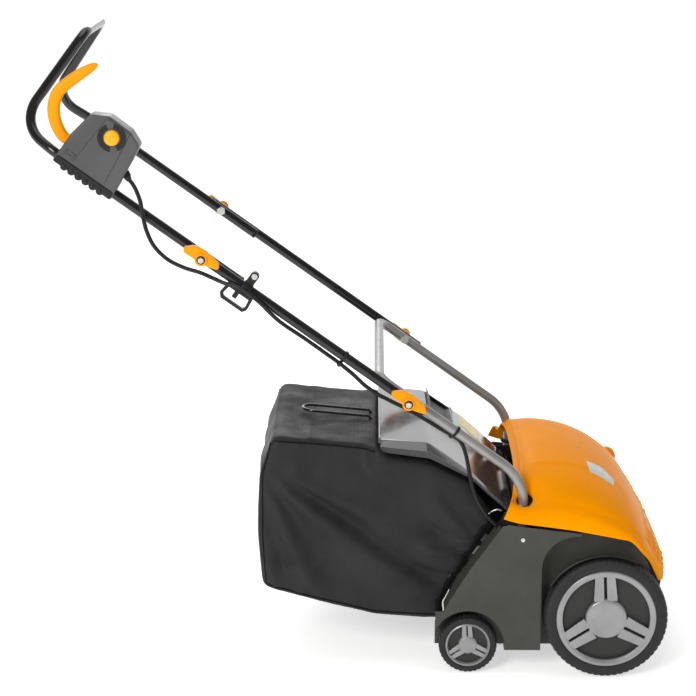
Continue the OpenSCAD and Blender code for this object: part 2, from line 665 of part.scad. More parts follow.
// ---- switch box on the right leg ----
box_u = mid_pivot_len + 177;
box_outline = [[0, -12], [114, -12], [113, 48], [105, 92], [78, 107], [35, 106], [10, 95], [1, 16]];
box_cavity = [[7, 14], [108, 14], [107, 46], [100, 88], [77, 101], [37, 100], [15, 91], [7, 18]];
box_out_y = panel_y;
box_split_y = panel_y - 26;
box_in_y = leg_y - 14;
box_wall = 3;
button_at = [55, 81];
lever_at = [102, 35];
function box_xz(p) = [-box_u - p[0], p[1]];
module box_slab(y0, y1, shape) {
    on_handle(0, 0) slab(-y1, -y0) polygon([for (p = shape) box_xz(p)]);
}
module box_rod(at, r, y0, y1) {
    on_handle(0, 0) y_rod(box_xz(at)[0], box_xz(at)[1], r, -y1, -y0);
}
module gland() {
    out = unit(route_top[1] - route_top[0]);
    bar(route_top[0] - out * 14, route_top[0], 5.5);
}
module box_bore() {
    bar(hp(box_u - 10, -leg_y, 0), hp(box_u + 130, -leg_y, 0), tube_r + run_gap);
}
module switch_box() color([0.2, 0.2, 0.2]) machine() difference() {
    union() {
        box_slab(box_split_y, box_out_y, box_outline);
        box_rod(button_at, 22, box_out_y - 1, box_out_y + 1);
        gland();
    }
    box_slab(box_split_y - 1, box_out_y - box_wall, box_cavity);
    box_rod(button_at, 13.2, box_split_y, box_out_y + 5);
    box_bore();
}
module switch_box_back() color([0.2, 0.2, 0.2]) machine() {
    difference() {
        box_slab(box_in_y, box_split_y, box_outline);
        box_slab(box_in_y + box_wall, box_split_y + 1, box_cavity);
        box_slab(leg_y - 8, leg_y + 12, [[90, 14], [125, 14], [125, 54], [90, 54]]);
        box_bore();
        gland();
    }
    box_rod(lever_at, 3, box_in_y + 1, box_split_y - 0.2);
}
module start_button() color([1, 0.65, 0.05]) machine() {
    box_rod(button_at, 12.9, box_out_y - 10, box_out_y + 6);
    box_rod(button_at, 15, box_out_y - box_wall - 4, box_out_y - box_wall - 0.5);
}
lever_line = [[102, 35], [122, 31], [148, 44], [163, 62], [169, 85], [164, 106], [155, 131], [144, 158]];
module switch_lever() color([1, 0.55, 0]) machine() difference() {
    on_handle(0, 0) slab(-leg_y - 10, -leg_y + 6) for (i = [0 : len(lever_line) - 2])
        strip(box_xz(lever_line[i]), box_xz(lever_line[i + 1]), i == 0 ? 16 : 19);
    box_rod(lever_at, 3 + run_gap, box_in_y, box_out_y);
}
inlet_at = [57, 58];
inlet_pin_gap = 19;
inlet_y = box_in_y - 16;
module power_inlet() color([0.1, 0.1, 0.1]) machine() {
    box_slab(inlet_y, box_in_y, [[35, 48], [38, 45], [76, 45], [79, 48], [79, 68], [76, 71], [38, 71],
        [35, 68]]);
    for (side = [-1, 1]) box_rod([inlet_at[0] + side * inlet_pin_gap / 2, inlet_at[1]], 2.4,
        inlet_y - 19, inlet_y + 1);
}
module cable_top() color([0.05, 0.05, 0.05]) machine() cable(route_top);
module cable_mid() color([0.05, 0.05, 0.05]) machine() cable(route_mid);
module cable_lower() color([0.05, 0.05, 0.05]) machine() cable(route_low);
// A cable tie: one ring round the tube, one round the cable, joined by a web
module cable_tie(tube_at, cable_at, along) {
    half = 2.5;
    difference() {
        union() {
            bar(tube_at - along * half, tube_at + along * half, tube_r + 1.6);
            bar(cable_at - along * half, cable_at + along * half, cable_d / 2 + 2.3);
            bar(tube_at, cable_at, 2);
        }
        bar(tube_at - along * 9, tube_at + along * 9, tube_r + 0.1);
        bar(cable_at - along * 9, cable_at + along * 9, cable_d / 2 + 0.9);
    }
}
up_handle = [-cos_a, 0, sin_a];
function u_of(p) = (pivot_x - p[0]) * cos_a + (p[2] - pivot_z) * sin_a;
module cable_tie_mid() color([0.05, 0.05, 0.05]) machine()
    cable_tie(hp(u_of(route_mid[12]), -mid_y, 0), route_mid[12], up_handle);
module cable_tie_lower() color([0.05, 0.05, 0.05]) machine()
    cable_tie(hp(u_of(route_low[6]), -leg_y, 0), route_low[6], up_handle);
// The cord hook: a clamp round the mid tube, a screwed boss and a loop with a tongue
hook_u = 332;
module cord_hook() color([0.06, 0.06, 0.06]) machine() difference() {
    union() {
        bar(hp(hook_u - 8, -mid_y, 0), hp(hook_u + 8, -mid_y, 0), tube_r + 3);
        on_handle(hook_u, 0) {
            slab(-mid_y - 6, -mid_y + 6) polygon([[-7, 0], [7, 0], [7, 28], [3, 32], [-3, 32], [-7, 28]]);
            slab(-mid_y - 5, -mid_y + 5) difference() {
                polygon([[-30, -9], [20, -9], [22, -30], [17, -37], [-26, -37], [-32, -30]]);
                polygon([[-25, -14], [15, -14], [17, -28], [14, -32], [-23, -32], [-27, -28]]);
            }
            slab(-mid_y - 4, -mid_y + 4) translate([-12, -25]) square([8, 14]);
        }
    }
    bar(hp(hook_u - 20, -mid_y, 0), hp(hook_u + 20, -mid_y, 0), tube_r + run_gap);
    on_handle(hook_u, 0) y_rod(0, 25, 2.5 + run_gap, -mid_y - 10, -mid_y + 10);
}
module hook_screw() color("silver") machine() on_handle(hook_u, 0) {
    y_rod(0, 25, 2.5, -mid_y - 7, -mid_y + 7);
    y_rod(0, 25, 5, -mid_y - 9, -mid_y - 6);
}

// ---- rear flap and collector bag ----
flap_half_w = 195;
flap_top = [[-385, 394], [-302, 388], [-234, 340], [-178, 290], [-156, 268]];
flap_low = [[-158, 264], [-172, 276], [-232, 331], [-300, 366], [-368, 376], [-384, 382]];
module rear_flap() color([0.45, 0.45, 0.45]) machine() difference() {
    union() {
        slab(-flap_half_w, flap_half_w) polygon(concat(flap_top,
            [for (i = [len(flap_top) - 1 : -1 : 0]) flap_top[i] - [1, 3.2]]));
        both_sides() slab(flap_half_w - 3, flap_half_w) polygon(concat(flap_top, flap_low));
        slab(-flap_half_w, flap_half_w) polygon([[-385, 394], [-382, 394], [-381, 382], [-384, 382]]);
        both_sides() y_rod(hinge_x, hinge_z, 7, flap_half_w - 45, flap_half_w - 3);
    }
    y_rod(hinge_x, hinge_z, 3 + run_gap, -flap_half_w - 1, flap_half_w + 1);
}
module flap_rod() color("silver") machine() y_rod(hinge_x, hinge_z, 3, -wall_y - 6, wall_y + 6);
bag_outline = [[-568, 401], [-593, 336], [-594, 229], [-587, 136], [-522, 117], [-393, 84],
    [-272, 78], [-279, 112], [-236, 189], [-188, 262], [-234, 322], [-302, 356], [-371, 366], [-391, 385]];
// A polygon's outline moved inwards by d
function inward(a, b) = let (e = unit(b - a)) [-e[1], e[0]];
function inset(p, d) = [for (i = [0 : len(p) - 1])
    let (a = p[(i + len(p) - 1) % len(p)], b = p[i], c = p[(i + 1) % len(p)],
        n0 = inward(a, b), n1 = inward(b, c))
    b + (n0 + n1) * d / (1 + n0 * n1)];
bag_top_slope = (bag_outline[0][1] - bag_outline[13][1]) / (bag_outline[0][0] - bag_outline[13][0]);
function bag_top_z(x) = bag_outline[13][1] + (x - bag_outline[13][0]) * bag_top_slope;
loop_half = 21;
loop_front_x = -402;
loop_rear_x = -523;
module bag() color([0.15, 0.15, 0.15]) machine() difference() {
    slab(-bag_w / 2, bag_w / 2) polygon(bag_outline);
    slab(-bag_w / 2 + bag_wall, bag_w / 2 - bag_wall) {
        polygon(inset(bag_outline, bag_wall));
        polygon([[-262, 84], [-285, 84], [-289, 112], [-245, 191], [-200, 256], [-176, 256]]);
    }
    for (side = [-1, 1]) translate([loop_front_x, side * loop_half, 360]) cylinder(r = 3.2, h = 60);
}
frame_y = bag_w / 2 - bag_wall - 5;
frame_r = 3;
frame_foot_r = 3.7;
frame_side = [[-290, 98], [-289, 112], [-246, 189], [-205, 256], [-242, 306], [-308, 342], [-402, 352]];
module bag_frame() color([0.1, 0.1, 0.1]) machine() {
    round_bar(concat([for (p = frame_side) [p[0], -frame_y, p[1]]],
        [for (i = [6 : -1 : 0]) [frame_side[i][0], frame_y, frame_side[i][1]]]),
        [0, 12, 25, 12, 25, 40, 14, 14, 40, 25, 12, 25, 12, 0], frame_r);
    y_rod(frame_side[0][0], frame_side[0][1], frame_foot_r, -frame_y - frame_foot_r, frame_y + frame_foot_r);
}
module bag_handle() color([0.05, 0.05, 0.05]) machine() {
    up = bag_wall + 2.5;
    round_bar([[loop_front_x, -loop_half, 355], [loop_front_x, -loop_half, bag_top_z(loop_front_x) + up],
        [loop_rear_x, -loop_half, bag_top_z(loop_rear_x) + up],
        [loop_rear_x, loop_half, bag_top_z(loop_rear_x) + up],
        [loop_front_x, loop_half, bag_top_z(loop_front_x) + up], [loop_front_x, loop_half, 355]],
        [0, 6, loop_half - 1, loop_half - 1, 6, 0], 2.5);
}

chassis_shell();
side_panel_right();
side_panel_left();
hood();
front_bumper();
panel_screws();
motor_housing();
drive_belt();
rotor_bearings();
depth_plate();
rear_axles();
lower_handle();
lower_handle_bolts();
lock_bolts_lower();
flap_rod();
cable_lower();
cable_tie_lower();
rotor_shaft();
rotor_knives();
rotor_spacers();
rotor_pulley();
motor_shaft();
motor_pulley();
front_axle();
depth_lever();
depth_knob();
front_tyre_right();
front_wheel_right();
front_trim_right();
front_tyre_left();
front_wheel_left();
front_trim_left();
rear_tyre_right();
rear_wheel_right();
rear_trim_right();
rear_tyre_left();
rear_wheel_left();
rear_trim_left();
mid_tube_right();
mid_tube_left();
lock_bolts_upper();
cord_hook();
hook_screw();
cable_mid();
cable_tie_mid();
upper_handle();
switch_box();
switch_box_back();
power_inlet();
cable_top();
start_button();
switch_lever();
cam_lever_lower_right();
cam_lever_lower_left();
cam_lever_upper_right();
cam_lever_upper_left();
rear_flap();
bag();
bag_frame();
bag_handle();
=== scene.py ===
"""Looks of the lawn dethatcher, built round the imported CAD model. Sizes in the tables are millimetres."""
import math
import bmesh
import bpy
import numpy as np
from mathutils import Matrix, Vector
from mathutils.bvhtree import BVHTree
from mathutils.noise import noise


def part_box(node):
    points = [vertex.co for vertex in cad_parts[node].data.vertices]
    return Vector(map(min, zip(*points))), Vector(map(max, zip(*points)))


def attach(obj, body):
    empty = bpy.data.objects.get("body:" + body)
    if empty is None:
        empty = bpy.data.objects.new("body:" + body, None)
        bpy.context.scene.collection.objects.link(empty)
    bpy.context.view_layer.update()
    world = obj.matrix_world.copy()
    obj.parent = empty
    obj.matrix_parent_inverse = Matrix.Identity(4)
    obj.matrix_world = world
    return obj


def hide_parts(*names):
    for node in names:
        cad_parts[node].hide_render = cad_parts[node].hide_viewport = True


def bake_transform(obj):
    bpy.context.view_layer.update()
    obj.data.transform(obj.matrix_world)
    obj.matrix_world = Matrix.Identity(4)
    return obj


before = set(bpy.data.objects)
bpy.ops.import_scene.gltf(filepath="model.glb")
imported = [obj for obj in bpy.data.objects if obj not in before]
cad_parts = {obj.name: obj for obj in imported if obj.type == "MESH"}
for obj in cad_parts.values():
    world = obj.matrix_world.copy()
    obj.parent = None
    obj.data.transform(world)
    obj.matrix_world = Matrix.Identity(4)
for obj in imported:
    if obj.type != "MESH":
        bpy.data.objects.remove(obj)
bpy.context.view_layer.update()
tyre_lo, tyre_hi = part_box("front_tyre_right")
AXLE_X = (tyre_lo.x + tyre_hi.x) / 2
SLOPE = math.radians(35.5)
CS, SN = math.cos(SLOPE), math.sin(SLOPE)
FOLD_X, FOLD_Z = -338, 477  # axis of the lower fold
UPPER_FOLD_U = 421  # the upper fold, this far up the handle
TUBE_R = 8.5
LEG_X, LEG_Y = -141, 223  # centre of a silver leg, and of the upper handle's sides
MID_Y = 241  # centre of a mid handle tube


def at(x, y, z):
    """A point measured from the front axle on the ground, in mm, as metres in the row frame."""
    return Vector((AXLE_X + x / 1000, y / 1000, z / 1000))


def on_handle(u, w, y):
    """A point u up the handle and w square to it."""
    return at(FOLD_X - u * CS + w * SN, y, FOLD_Z + u * SN + w * CS)


# ---- camera ----
cam_data = bpy.data.cameras.new("camera")
cam = bpy.data.objects.new("camera", cam_data)
bpy.context.scene.collection.objects.link(cam)
cam.location = at(-398.2, -3730, 1393.5)
cam.rotation_euler = (math.radians(76.69), 0, math.radians(0.677))
cam_data.sensor_width = 36
cam_data.lens = 111.2
cam_data.clip_end = 100
bpy.context.scene.camera = cam


# ---- material helpers ----
class Mat:
    def __init__(self, name, colour, rough=0.5, metal=0.0, **sockets):
        self.m = bpy.data.materials.new(name)
        self.m.use_nodes = True
        self.t = self.m.node_tree
        self.b = self.t.nodes["Principled BSDF"]
        self.b.inputs["Base Color"].default_value = (*colour, 1)
        self.b.inputs["Roughness"].default_value = rough
        self.b.inputs["Metallic"].default_value = metal
        for k, v in sockets.items():
            self.b.inputs[k.replace("_", " ")].default_value = v
        self.coord = self.t.nodes.new("ShaderNodeTexCoord").outputs["Object"]
        self.colour = colour
        self.height = None

    def node(self, kind, **props):
        n = self.t.nodes.new(kind)
        for k, v in props.items():
            setattr(n, k, v)
        return n

    def link(self, a, b):
        self.t.links.new(a, b)

    def noise(self, scale, detail=3, rough=0.55, stretch=None):
        n = self.node("ShaderNodeTexNoise")
        n.inputs["Scale"].default_value = scale
        n.inputs["Detail"].default_value = detail
        n.inputs["Roughness"].default_value = rough
        src = self.coord
        if stretch:
            mp = self.node("ShaderNodeMapping")
            mp.inputs["Scale"].default_value = stretch
            self.link(src, mp.inputs["Vector"])
            src = mp.outputs["Vector"]
        self.link(src, n.inputs["Vector"])
        return n.outputs["Fac"]

    def ramp(self, fac, lo, hi, a, b):
        r = self.node("ShaderNodeMapRange")
        r.inputs["From Min"].default_value = lo
        r.inputs["From Max"].default_value = hi
        r.inputs["To Min"].default_value = a
        r.inputs["To Max"].default_value = b
        self.link(fac, r.inputs["Value"])
        return r.outputs["Result"]

    def vary_rough(self, fac, a, b, lo=0.35, hi=0.65):
        self.link(self.ramp(fac, lo, hi, a, b), self.b.inputs["Roughness"])
        return self

    def vary_colour(self, fac, other, lo=0.35, hi=0.65):
        mix = self.node("ShaderNodeMix", data_type="RGBA")
        mix.inputs["A"].default_value = (*self.colour, 1)
        mix.inputs["B"].default_value = (*other, 1)
        self.link(self.ramp(fac, lo, hi, 0, 1), mix.inputs["Factor"])
        self.link(mix.outputs["Result"], self.b.inputs["Base Color"])
        return self

    def bump(self, fac, strength=0.2, distance=0.001):
        n = self.node("ShaderNodeBump")
        n.inputs["Strength"].default_value = strength
        n.inputs["Distance"].default_value = distance
        self.link(fac, n.inputs["Height"])
        if self.height is not None:
            self.link(self.height, n.inputs["Normal"])
        self.height = n.outputs["Normal"]
        self.link(self.height, self.b.inputs["Normal"])
        return self


def moulded(name, colour, rough, grain=900, strength=0.25, spread=0.12):
    """Injection-moulded plastic: spark-eroded grain, faint flow marks."""
    m = Mat(name, colour, rough, Specular_IOR_Level=0.3)
    lighter = tuple(c * 1.2 + 0.002 for c in colour)
    m.vary_colour(m.noise(14, 4), lighter)
    m.vary_rough(m.noise(60, 5), rough - spread / 2, rough + spread / 2)
    m.bump(m.noise(grain, 2), strength, 0.0004)
    m.bump(m.noise(25, 2), 0.05, 0.002)
    return m.m


def glossy(name, colour, rough=0.22, coat=0.6, peel=0.03, shine=0.5):
    m = Mat(name, colour, rough, Coat_Weight=coat, Coat_Roughness=0.08, Specular_IOR_Level=shine)
    m.vary_colour(m.noise(6, 3), tuple(c * 0.93 for c in colour))
    m.vary_rough(m.noise(45, 4), rough - 0.04, rough + 0.06)
    m.bump(m.noise(160, 2), peel, 0.0006)
    return m.m


def metal(name, colour, rough, brushed=(1, 1, 1), scale=500, strength=0.08):
    m = Mat(name, colour, rough, 1.0)
    f = m.noise(scale, 3, 0.6, brushed)
    m.vary_rough(f, rough - 0.07, rough + 0.1)
    m.vary_colour(m.noise(35, 3), tuple(c * 0.82 for c in colour))
    m.bump(f, strength, 0.0003)
    return m.m


def tube_paint(name, colour, rough, metallic=0.0, coat=0.5, shine=0.5):
    m = Mat(name, colour, rough, metallic, Coat_Weight=coat, Coat_Roughness=0.12, Specular_IOR_Level=shine)
    m.vary_rough(m.noise(70, 5), rough - 0.05, rough + 0.08)
    m.vary_colour(m.noise(20, 3), tuple(c * 1.18 + 0.002 for c in colour))
    m.bump(m.noise(700, 2), 0.06, 0.0003)
    return m.m


def woven(name, colour, other, pitch=0.0011, rough=0.52, sheen=0.0):
    """Coated polyester: two crossed yarn waves, with a soft sheen and uneven dye."""
    m = Mat(name, colour, rough, Sheen_Weight=sheen, Sheen_Roughness=0.4, Specular_IOR_Level=0.06)
    waves = []
    for axis, mix in (("X", (1, 0.15, 0)), ("Z", (0, 0.15, 1))):
        w = m.node("ShaderNodeTexWave", wave_type="BANDS", bands_direction=axis, wave_profile="SIN")
        w.inputs["Scale"].default_value = 1 / pitch / 20
        w.inputs["Distortion"].default_value = 0.6
        w.inputs["Detail"].default_value = 1
        w.inputs["Detail Scale"].default_value = 2
        m.link(m.coord, w.inputs["Vector"])
        waves.append(w.outputs["Fac"])
    top = m.node("ShaderNodeMath", operation="MAXIMUM")
    m.link(waves[0], top.inputs[0])
    m.link(waves[1], top.inputs[1])
    m.vary_colour(m.noise(9, 4, 0.6), other, 0.3, 0.7)
    m.vary_rough(m.noise(16, 4), rough - 0.14, rough + 0.08)
    m.bump(top.outputs[0], 0.35, 0.0003)
    m.bump(m.noise(240, 3), 0.12, 0.0006)
    return m.m


ORANGE = (0.99, 0.325, 0.0)
M = {
    "orange": glossy("hood_orange", ORANGE, 0.35, 0.0, 0.02, 0.02),
    "orange_part": glossy("control_orange", (0.98, 0.33, 0.002), 0.32, 0.0, 0.05, 0.1),
    "yellow": glossy("button_yellow", (0.98, 0.42, 0.01), 0.3, 0.1, 0.04, 0.25),
    "panel": moulded("panel_plastic", (0.046, 0.046, 0.040), 0.46, 1100, 0.22),
    "chassis": moulded("chassis_plastic", (0.018, 0.018, 0.017), 0.45, 900, 0.25),
    "black": moulded("black_plastic", (0.009, 0.009, 0.0095), 0.42, 900, 0.2),
    "box": moulded("box_plastic", (0.07, 0.071, 0.073), 0.38, 1000, 0.25),
    "disc": moulded("wheel_plastic", (0.026, 0.026, 0.024), 0.5, 800, 0.3),
    "flap": glossy("flap_plastic", (0.085, 0.087, 0.086), 0.14, 0.6, 0.015, 0.4),
    "flap_edge": moulded("flap_edge_plastic", (0.05, 0.05, 0.05), 0.36, 700, 0.15),
    "silver_plastic": tube_paint("wheel_silver", (0.27, 0.27, 0.275), 0.34, 0.35, 0.2),
    "silver_tube": tube_paint("silver_tube", (0.29, 0.285, 0.28), 0.36, 0.5, 0.15),
    "black_tube": tube_paint("black_tube", (0.007, 0.007, 0.007), 0.17, 0.0, 0.25, 0.4),
    "wire": tube_paint("black_wire", (0.008, 0.008, 0.008), 0.16, 0.0, 0.4, 0.5),
    "steel": metal("zinc_steel", (0.62, 0.61, 0.58), 0.32),
    "knife": metal("knife_steel", (0.42, 0.42, 0.43), 0.38, (1, 1, 6)),
    "alloy": metal("motor_alloy", (0.2, 0.2, 0.21), 0.5, (1, 1, 1), 250, 0.2),
    "tyre": moulded("tyre_rubber", (0.016, 0.016, 0.016), 0.6, 500, 0.3),
    "rubber": moulded("cable_rubber", (0.008, 0.008, 0.008), 0.4, 600, 0.12),
    "fabric": woven("bag_fabric", (0.026, 0.0262, 0.0265), (0.035, 0.0352, 0.0358)),
    "binding": woven("bag_binding", (0.005, 0.005, 0.0055), (0.009, 0.009, 0.0095), 0.0016, 0.5, 0.1),
    "label_pale": glossy("blank_label_pale", (0.52, 0.55, 0.57), 0.3, 0.3, 0.02),
    "label_yellow": glossy("blank_label_yellow", (0.85, 0.62, 0.02), 0.3, 0.3, 0.02),
}

NODE_MATS = {
    "chassis_shell": "chassis", "side_panel_right": "panel", "side_panel_left": "panel",
    "hood": "orange", "front_bumper": "black", "panel_screws": "steel",
    "motor_housing": "alloy", "drive_belt": "rubber", "rotor_bearings": "steel",
    "depth_plate": "steel", "rear_axles": "steel", "lower_handle": "silver_tube",
    "lower_handle_bolts": "steel", "lock_bolts_lower": "steel", "lock_bolts_upper": "steel",
    "flap_rod": "steel", "cable_lower": "rubber", "cable_tie_lower": "black",
    "rotor_shaft": "steel", "rotor_knives": "knife", "rotor_spacers": "alloy",
    "rotor_pulley": "black", "motor_shaft": "steel", "motor_pulley": "alloy",
    "front_axle": "steel", "depth_lever": "black", "depth_knob": "orange_part",
    "mid_tube_right": "black_tube", "mid_tube_left": "black_tube", "cord_hook": "black",
    "hook_screw": "steel", "cable_mid": "rubber", "cable_tie_mid": "black",
    "upper_handle": "black_tube", "switch_box": "box", "switch_box_back": "box",
    "power_inlet": "black", "cable_top": "rubber", "start_button": "yellow",
    "switch_lever": "orange_part", "rear_flap": "flap", "bag": "fabric",
    "bag_frame": "wire", "bag_handle": "wire",
}
for side in ("right", "left"):
    NODE_MATS.update({f"cam_lever_lower_{side}": "orange_part", f"cam_lever_upper_{side}": "orange_part"})
    for end in ("front", "rear"):
        NODE_MATS.update({f"{end}_tyre_{side}": "tyre", f"{end}_wheel_{side}": "disc",
                          f"{end}_trim_{side}": "silver_plastic"})
for name, key in NODE_MATS.items():
    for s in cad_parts[name].material_slots:
        s.link = "OBJECT"
        s.material = M[key]


# ---- mesh helpers ----
def piece(name, verts, faces, mat, body, replaces=()):
    """A smooth-shaded mesh that rides on body, with the CAD nodes it replaces."""
    me = bpy.data.meshes.new(name)
    me.from_pydata([tuple(v) for v in verts], [], faces)
    me.validate()
    me.update()
    o = bpy.data.objects.new(name, me)
    bpy.context.scene.collection.objects.link(o)
    me.materials.append(M[mat])
    me.polygons.foreach_set("use_smooth", [True] * len(me.polygons))
    bm = bmesh.new()
    bm.from_mesh(me)
    bmesh.ops.recalc_face_normals(bm, faces=bm.faces)
    bm.to_mesh(me)
    bm.free()
    if body:
        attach(o, body)
    if replaces:
        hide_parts(*replaces)
    return o


def modifier(o, kind, **props):
    """Adds a modifier with its properties set."""
    m = o.modifiers.new(kind.lower(), kind)
    for k, v in props.items():
        setattr(m, k, v)
    return m


def apply_all(o):
    """Bakes an object's modifiers into its mesh."""
    dg = bpy.context.evaluated_depsgraph_get()
    me = bpy.data.meshes.new_from_object(o.evaluated_get(dg), depsgraph=dg)
    o.modifiers.clear()
    old = o.data
    o.data = me
    bpy.data.meshes.remove(old)
    return o


def sharp(o, angle=30):
    """Smooth shading that keeps edges sharper than this angle."""
    o.data.set_sharp_from_angle(angle=math.radians(angle))
    return o


def cut(o, verts, faces):
    """Takes a closed mesh away from o."""
    me = bpy.data.meshes.new("cutter")
    me.from_pydata([tuple(v) for v in verts], [], faces)
    bm = bmesh.new()
    bm.from_mesh(me)
    bmesh.ops.recalc_face_normals(bm, faces=bm.faces)
    bm.to_mesh(me)
    bm.free()
    c = bpy.data.objects.new("cutter", me)
    bpy.context.scene.collection.objects.link(c)
    modifier(o, "BOOLEAN", operation="DIFFERENCE", solver="EXACT", object=c)
    bpy.context.view_layer.update()
    apply_all(o)
    bpy.data.objects.remove(c)
    bpy.data.meshes.remove(me)


def grid_faces(rows, cols, wrap_cols=False, wrap_rows=False, base=0):
    """Quads between the points of a grid stored row by row, from vertex number base."""
    out = []
    for i in range(rows if wrap_rows else rows - 1):
        for j in range(cols if wrap_cols else cols - 1):
            a, b = i * cols + j, i * cols + (j + 1) % cols
            i2 = (i + 1) % rows
            c, d = i2 * cols + (j + 1) % cols, i2 * cols + j
            out.append((base + a, base + b, base + c, base + d))
    return out


def catmull(points, steps):
    """A smooth line through points (any number of coordinates each)."""
    p = [np.array(q, float) for q in points]
    n, out = len(p), []
    for i in range(n - 1):
        p0, p1, p2, p3 = p[max(i - 1, 0)], p[i], p[i + 1], p[min(i + 2, n - 1)]
        for k in range(steps):
            t = k / steps
            out.append(0.5 * (2 * p1 + (p2 - p0) * t + (2 * p0 - 5 * p1 + 4 * p2 - p3) * t * t
                              + (3 * p1 - p0 - 3 * p2 + p3) * t ** 3))
    out.append(p[-1])
    return out


def fillet(points, r, steps=6, closed=True, share=0.48):
    """The polygon's corners replaced by arcs; r is one radius or a list, share an arc's most of a side."""
    n, out = len(points), []
    for i in range(n):
        b = np.array(points[i], float)
        if not closed and i in (0, n - 1):
            out.append(b)
            continue
        a, c = np.array(points[i - 1], float), np.array(points[(i + 1) % n], float)
        rad = r[i] if isinstance(r, (list, tuple)) else r
        d0, d1 = a - b, c - b
        l0, l1 = np.linalg.norm(d0), np.linalg.norm(d1)
        d0, d1 = d0 / l0, d1 / l1
        half = math.acos(max(-0.99999, min(0.99999, float(d0 @ d1)))) / 2
        t = min(rad / math.tan(half), l0 * share, l1 * share)
        if t < 1e-6 or half > 1.56:
            out.append(b)
            continue
        c = b + (d0 + d1) / np.linalg.norm(d0 + d1) * t / math.cos(half)
        s, e, turn = b + d0 * t - c, b + d1 * t - c, math.pi - 2 * half
        for k in range(steps + 1):
            q = k / steps
            out.append(c + (s * math.sin((1 - q) * turn) + e * math.sin(q * turn)) / math.sin(turn))
    return out


def spread(line, step, closed=False):
    """Points at even spacing along a line."""
    pts = np.array(line + [line[0]] if closed else line, float)
    seg = np.linalg.norm(np.diff(pts, axis=0), axis=1)
    s = np.concatenate([[0], np.cumsum(seg)])
    n = max(3, int(round(s[-1] / step)))
    t = np.linspace(0, s[-1], n + 1)
    out = np.stack([np.interp(t, s, pts[:, k]) for k in range(pts.shape[1])], axis=1)
    return out[:-1] if closed else out


def sweep(name, path, radius, mat, body, sides=14, closed=False, replaces=(), flat=None,
          up=(0, 1, 0), caps=True):
    """A round or, with flat=(across, thick), superelliptic bar along a path of points in metres."""
    p = [Vector(q) for q in path]
    n = len(p)
    verts, right = [], None
    for i in range(n):
        a = p[i - 1] if (i or closed) else p[i]
        c = p[(i + 1) % n] if (i < n - 1 or closed) else p[i]
        d = (c - a).normalized()
        if right is None:
            side_axis = Vector(up) if abs(d.dot(Vector(up).normalized())) < 0.98 else Vector((1, 0, 0))
            right = d.cross(side_axis).normalized()
        else:
            right = (right - d * right.dot(d)).normalized()
        other = right.cross(d)
        rad = radius[i] if hasattr(radius, "__len__") else radius
        for k in range(sides):
            t = 2 * math.pi * k / sides
            cx, cy = math.cos(t), math.sin(t)
            if flat is not None:
                fa, ft = flat[i] if hasattr(flat[0], "__len__") else flat
                e = 0.62
                cx = math.copysign(abs(cx) ** e, cx) * fa / 2
                cy = math.copysign(abs(cy) ** e, cy) * ft / 2
                verts.append(p[i] + right * cx + other * cy)
            else:
                verts.append(p[i] + (right * cx + other * cy) * rad)
    faces = grid_faces(n, sides, wrap_cols=True, wrap_rows=closed)
    if caps and not closed:
        faces.append(tuple(range(sides)))
        faces.append(tuple(range((n - 1) * sides, n * sides)))
    return piece(name, verts, faces, mat, body, replaces)


def lathe(name, profile, centre, axis_sign, mat, body, steps=96, replaces=(), shape=None,
          closed=True):
    """Turns a profile of (radius, out) in mm about a Y axis through centre; out is along Y by axis_sign."""
    verts = []
    for k in range(steps):
        t = 2 * math.pi * k / steps
        for j, (r, out) in enumerate(profile):
            if shape:
                r, out = shape(t, j, r, out)
            verts.append(centre + Vector((r * math.cos(t), axis_sign * out, r * math.sin(t))) / 1000)
    return piece(name, verts, grid_faces(steps, len(profile), wrap_cols=closed, wrap_rows=True), mat, body,
                 replaces)


def prism(name, outline, to3d, y0, y1, mat, body, bevel=1.0, replaces=(), segments=3):
    """A plate from a closed outline, from y0 to y1 (mm), with rounded edges."""
    n = len(outline)
    verts = [to3d(p[0], p[1], y0) for p in outline] + [to3d(p[0], p[1], y1) for p in outline]
    faces = [tuple(range(n)), tuple(range(n, 2 * n))] + [(i, (i + 1) % n, n + (i + 1) % n, n + i)
                                                         for i in range(n)]
    o = piece(name, verts, faces, mat, body, replaces)
    if bevel:
        modifier(o, "BEVEL", width=bevel / 1000, segments=segments, limit_method="ANGLE",
                 angle_limit=math.radians(50))
    sharp(o, 40)
    return o


def smoothstep(a, b, x):
    """0 below a, 1 above b, and smooth between."""
    t = np.clip((x - a) / (b - a), 0, 1)
    return t * t * (3 - 2 * t)


# ---- hood: crown line at y 0, side edge line at half width, one arched section at each station ----
STATIONS = [  # crown x, z; side x, z; half width; squareness
    ((-152, 334), (-176, 277), 262, 2.7), ((-131, 343.5), (-152, 270), 262, 2.7),
    ((-93, 346.5), (-108, 264), 262, 2.7), ((-49, 341), (-60, 257.5), 262, 2.6),
    ((-8, 325), (-24, 251), 262, 2.5), ((24, 303), (2, 246), 262, 2.5),
    ((50, 278), (24, 241.5), 262, 2.5), ((66, 256), (37, 239), 262, 2.4),
    ((78, 236), (47, 231), 260, 2.3), ((92, 209), (60, 214), 251, 2.3),
    ((104, 187), (75, 194), 237, 2.4), ((113, 169), (86, 171), 224, 2.6),
    ((112, 151), (95, 152), 212, 3.0)]
VENTS = 6  # slots on each side of the centreline
VENT_ROWS = ((172, 13), (196, 13), (221, 12))  # middle height and slot height of each row


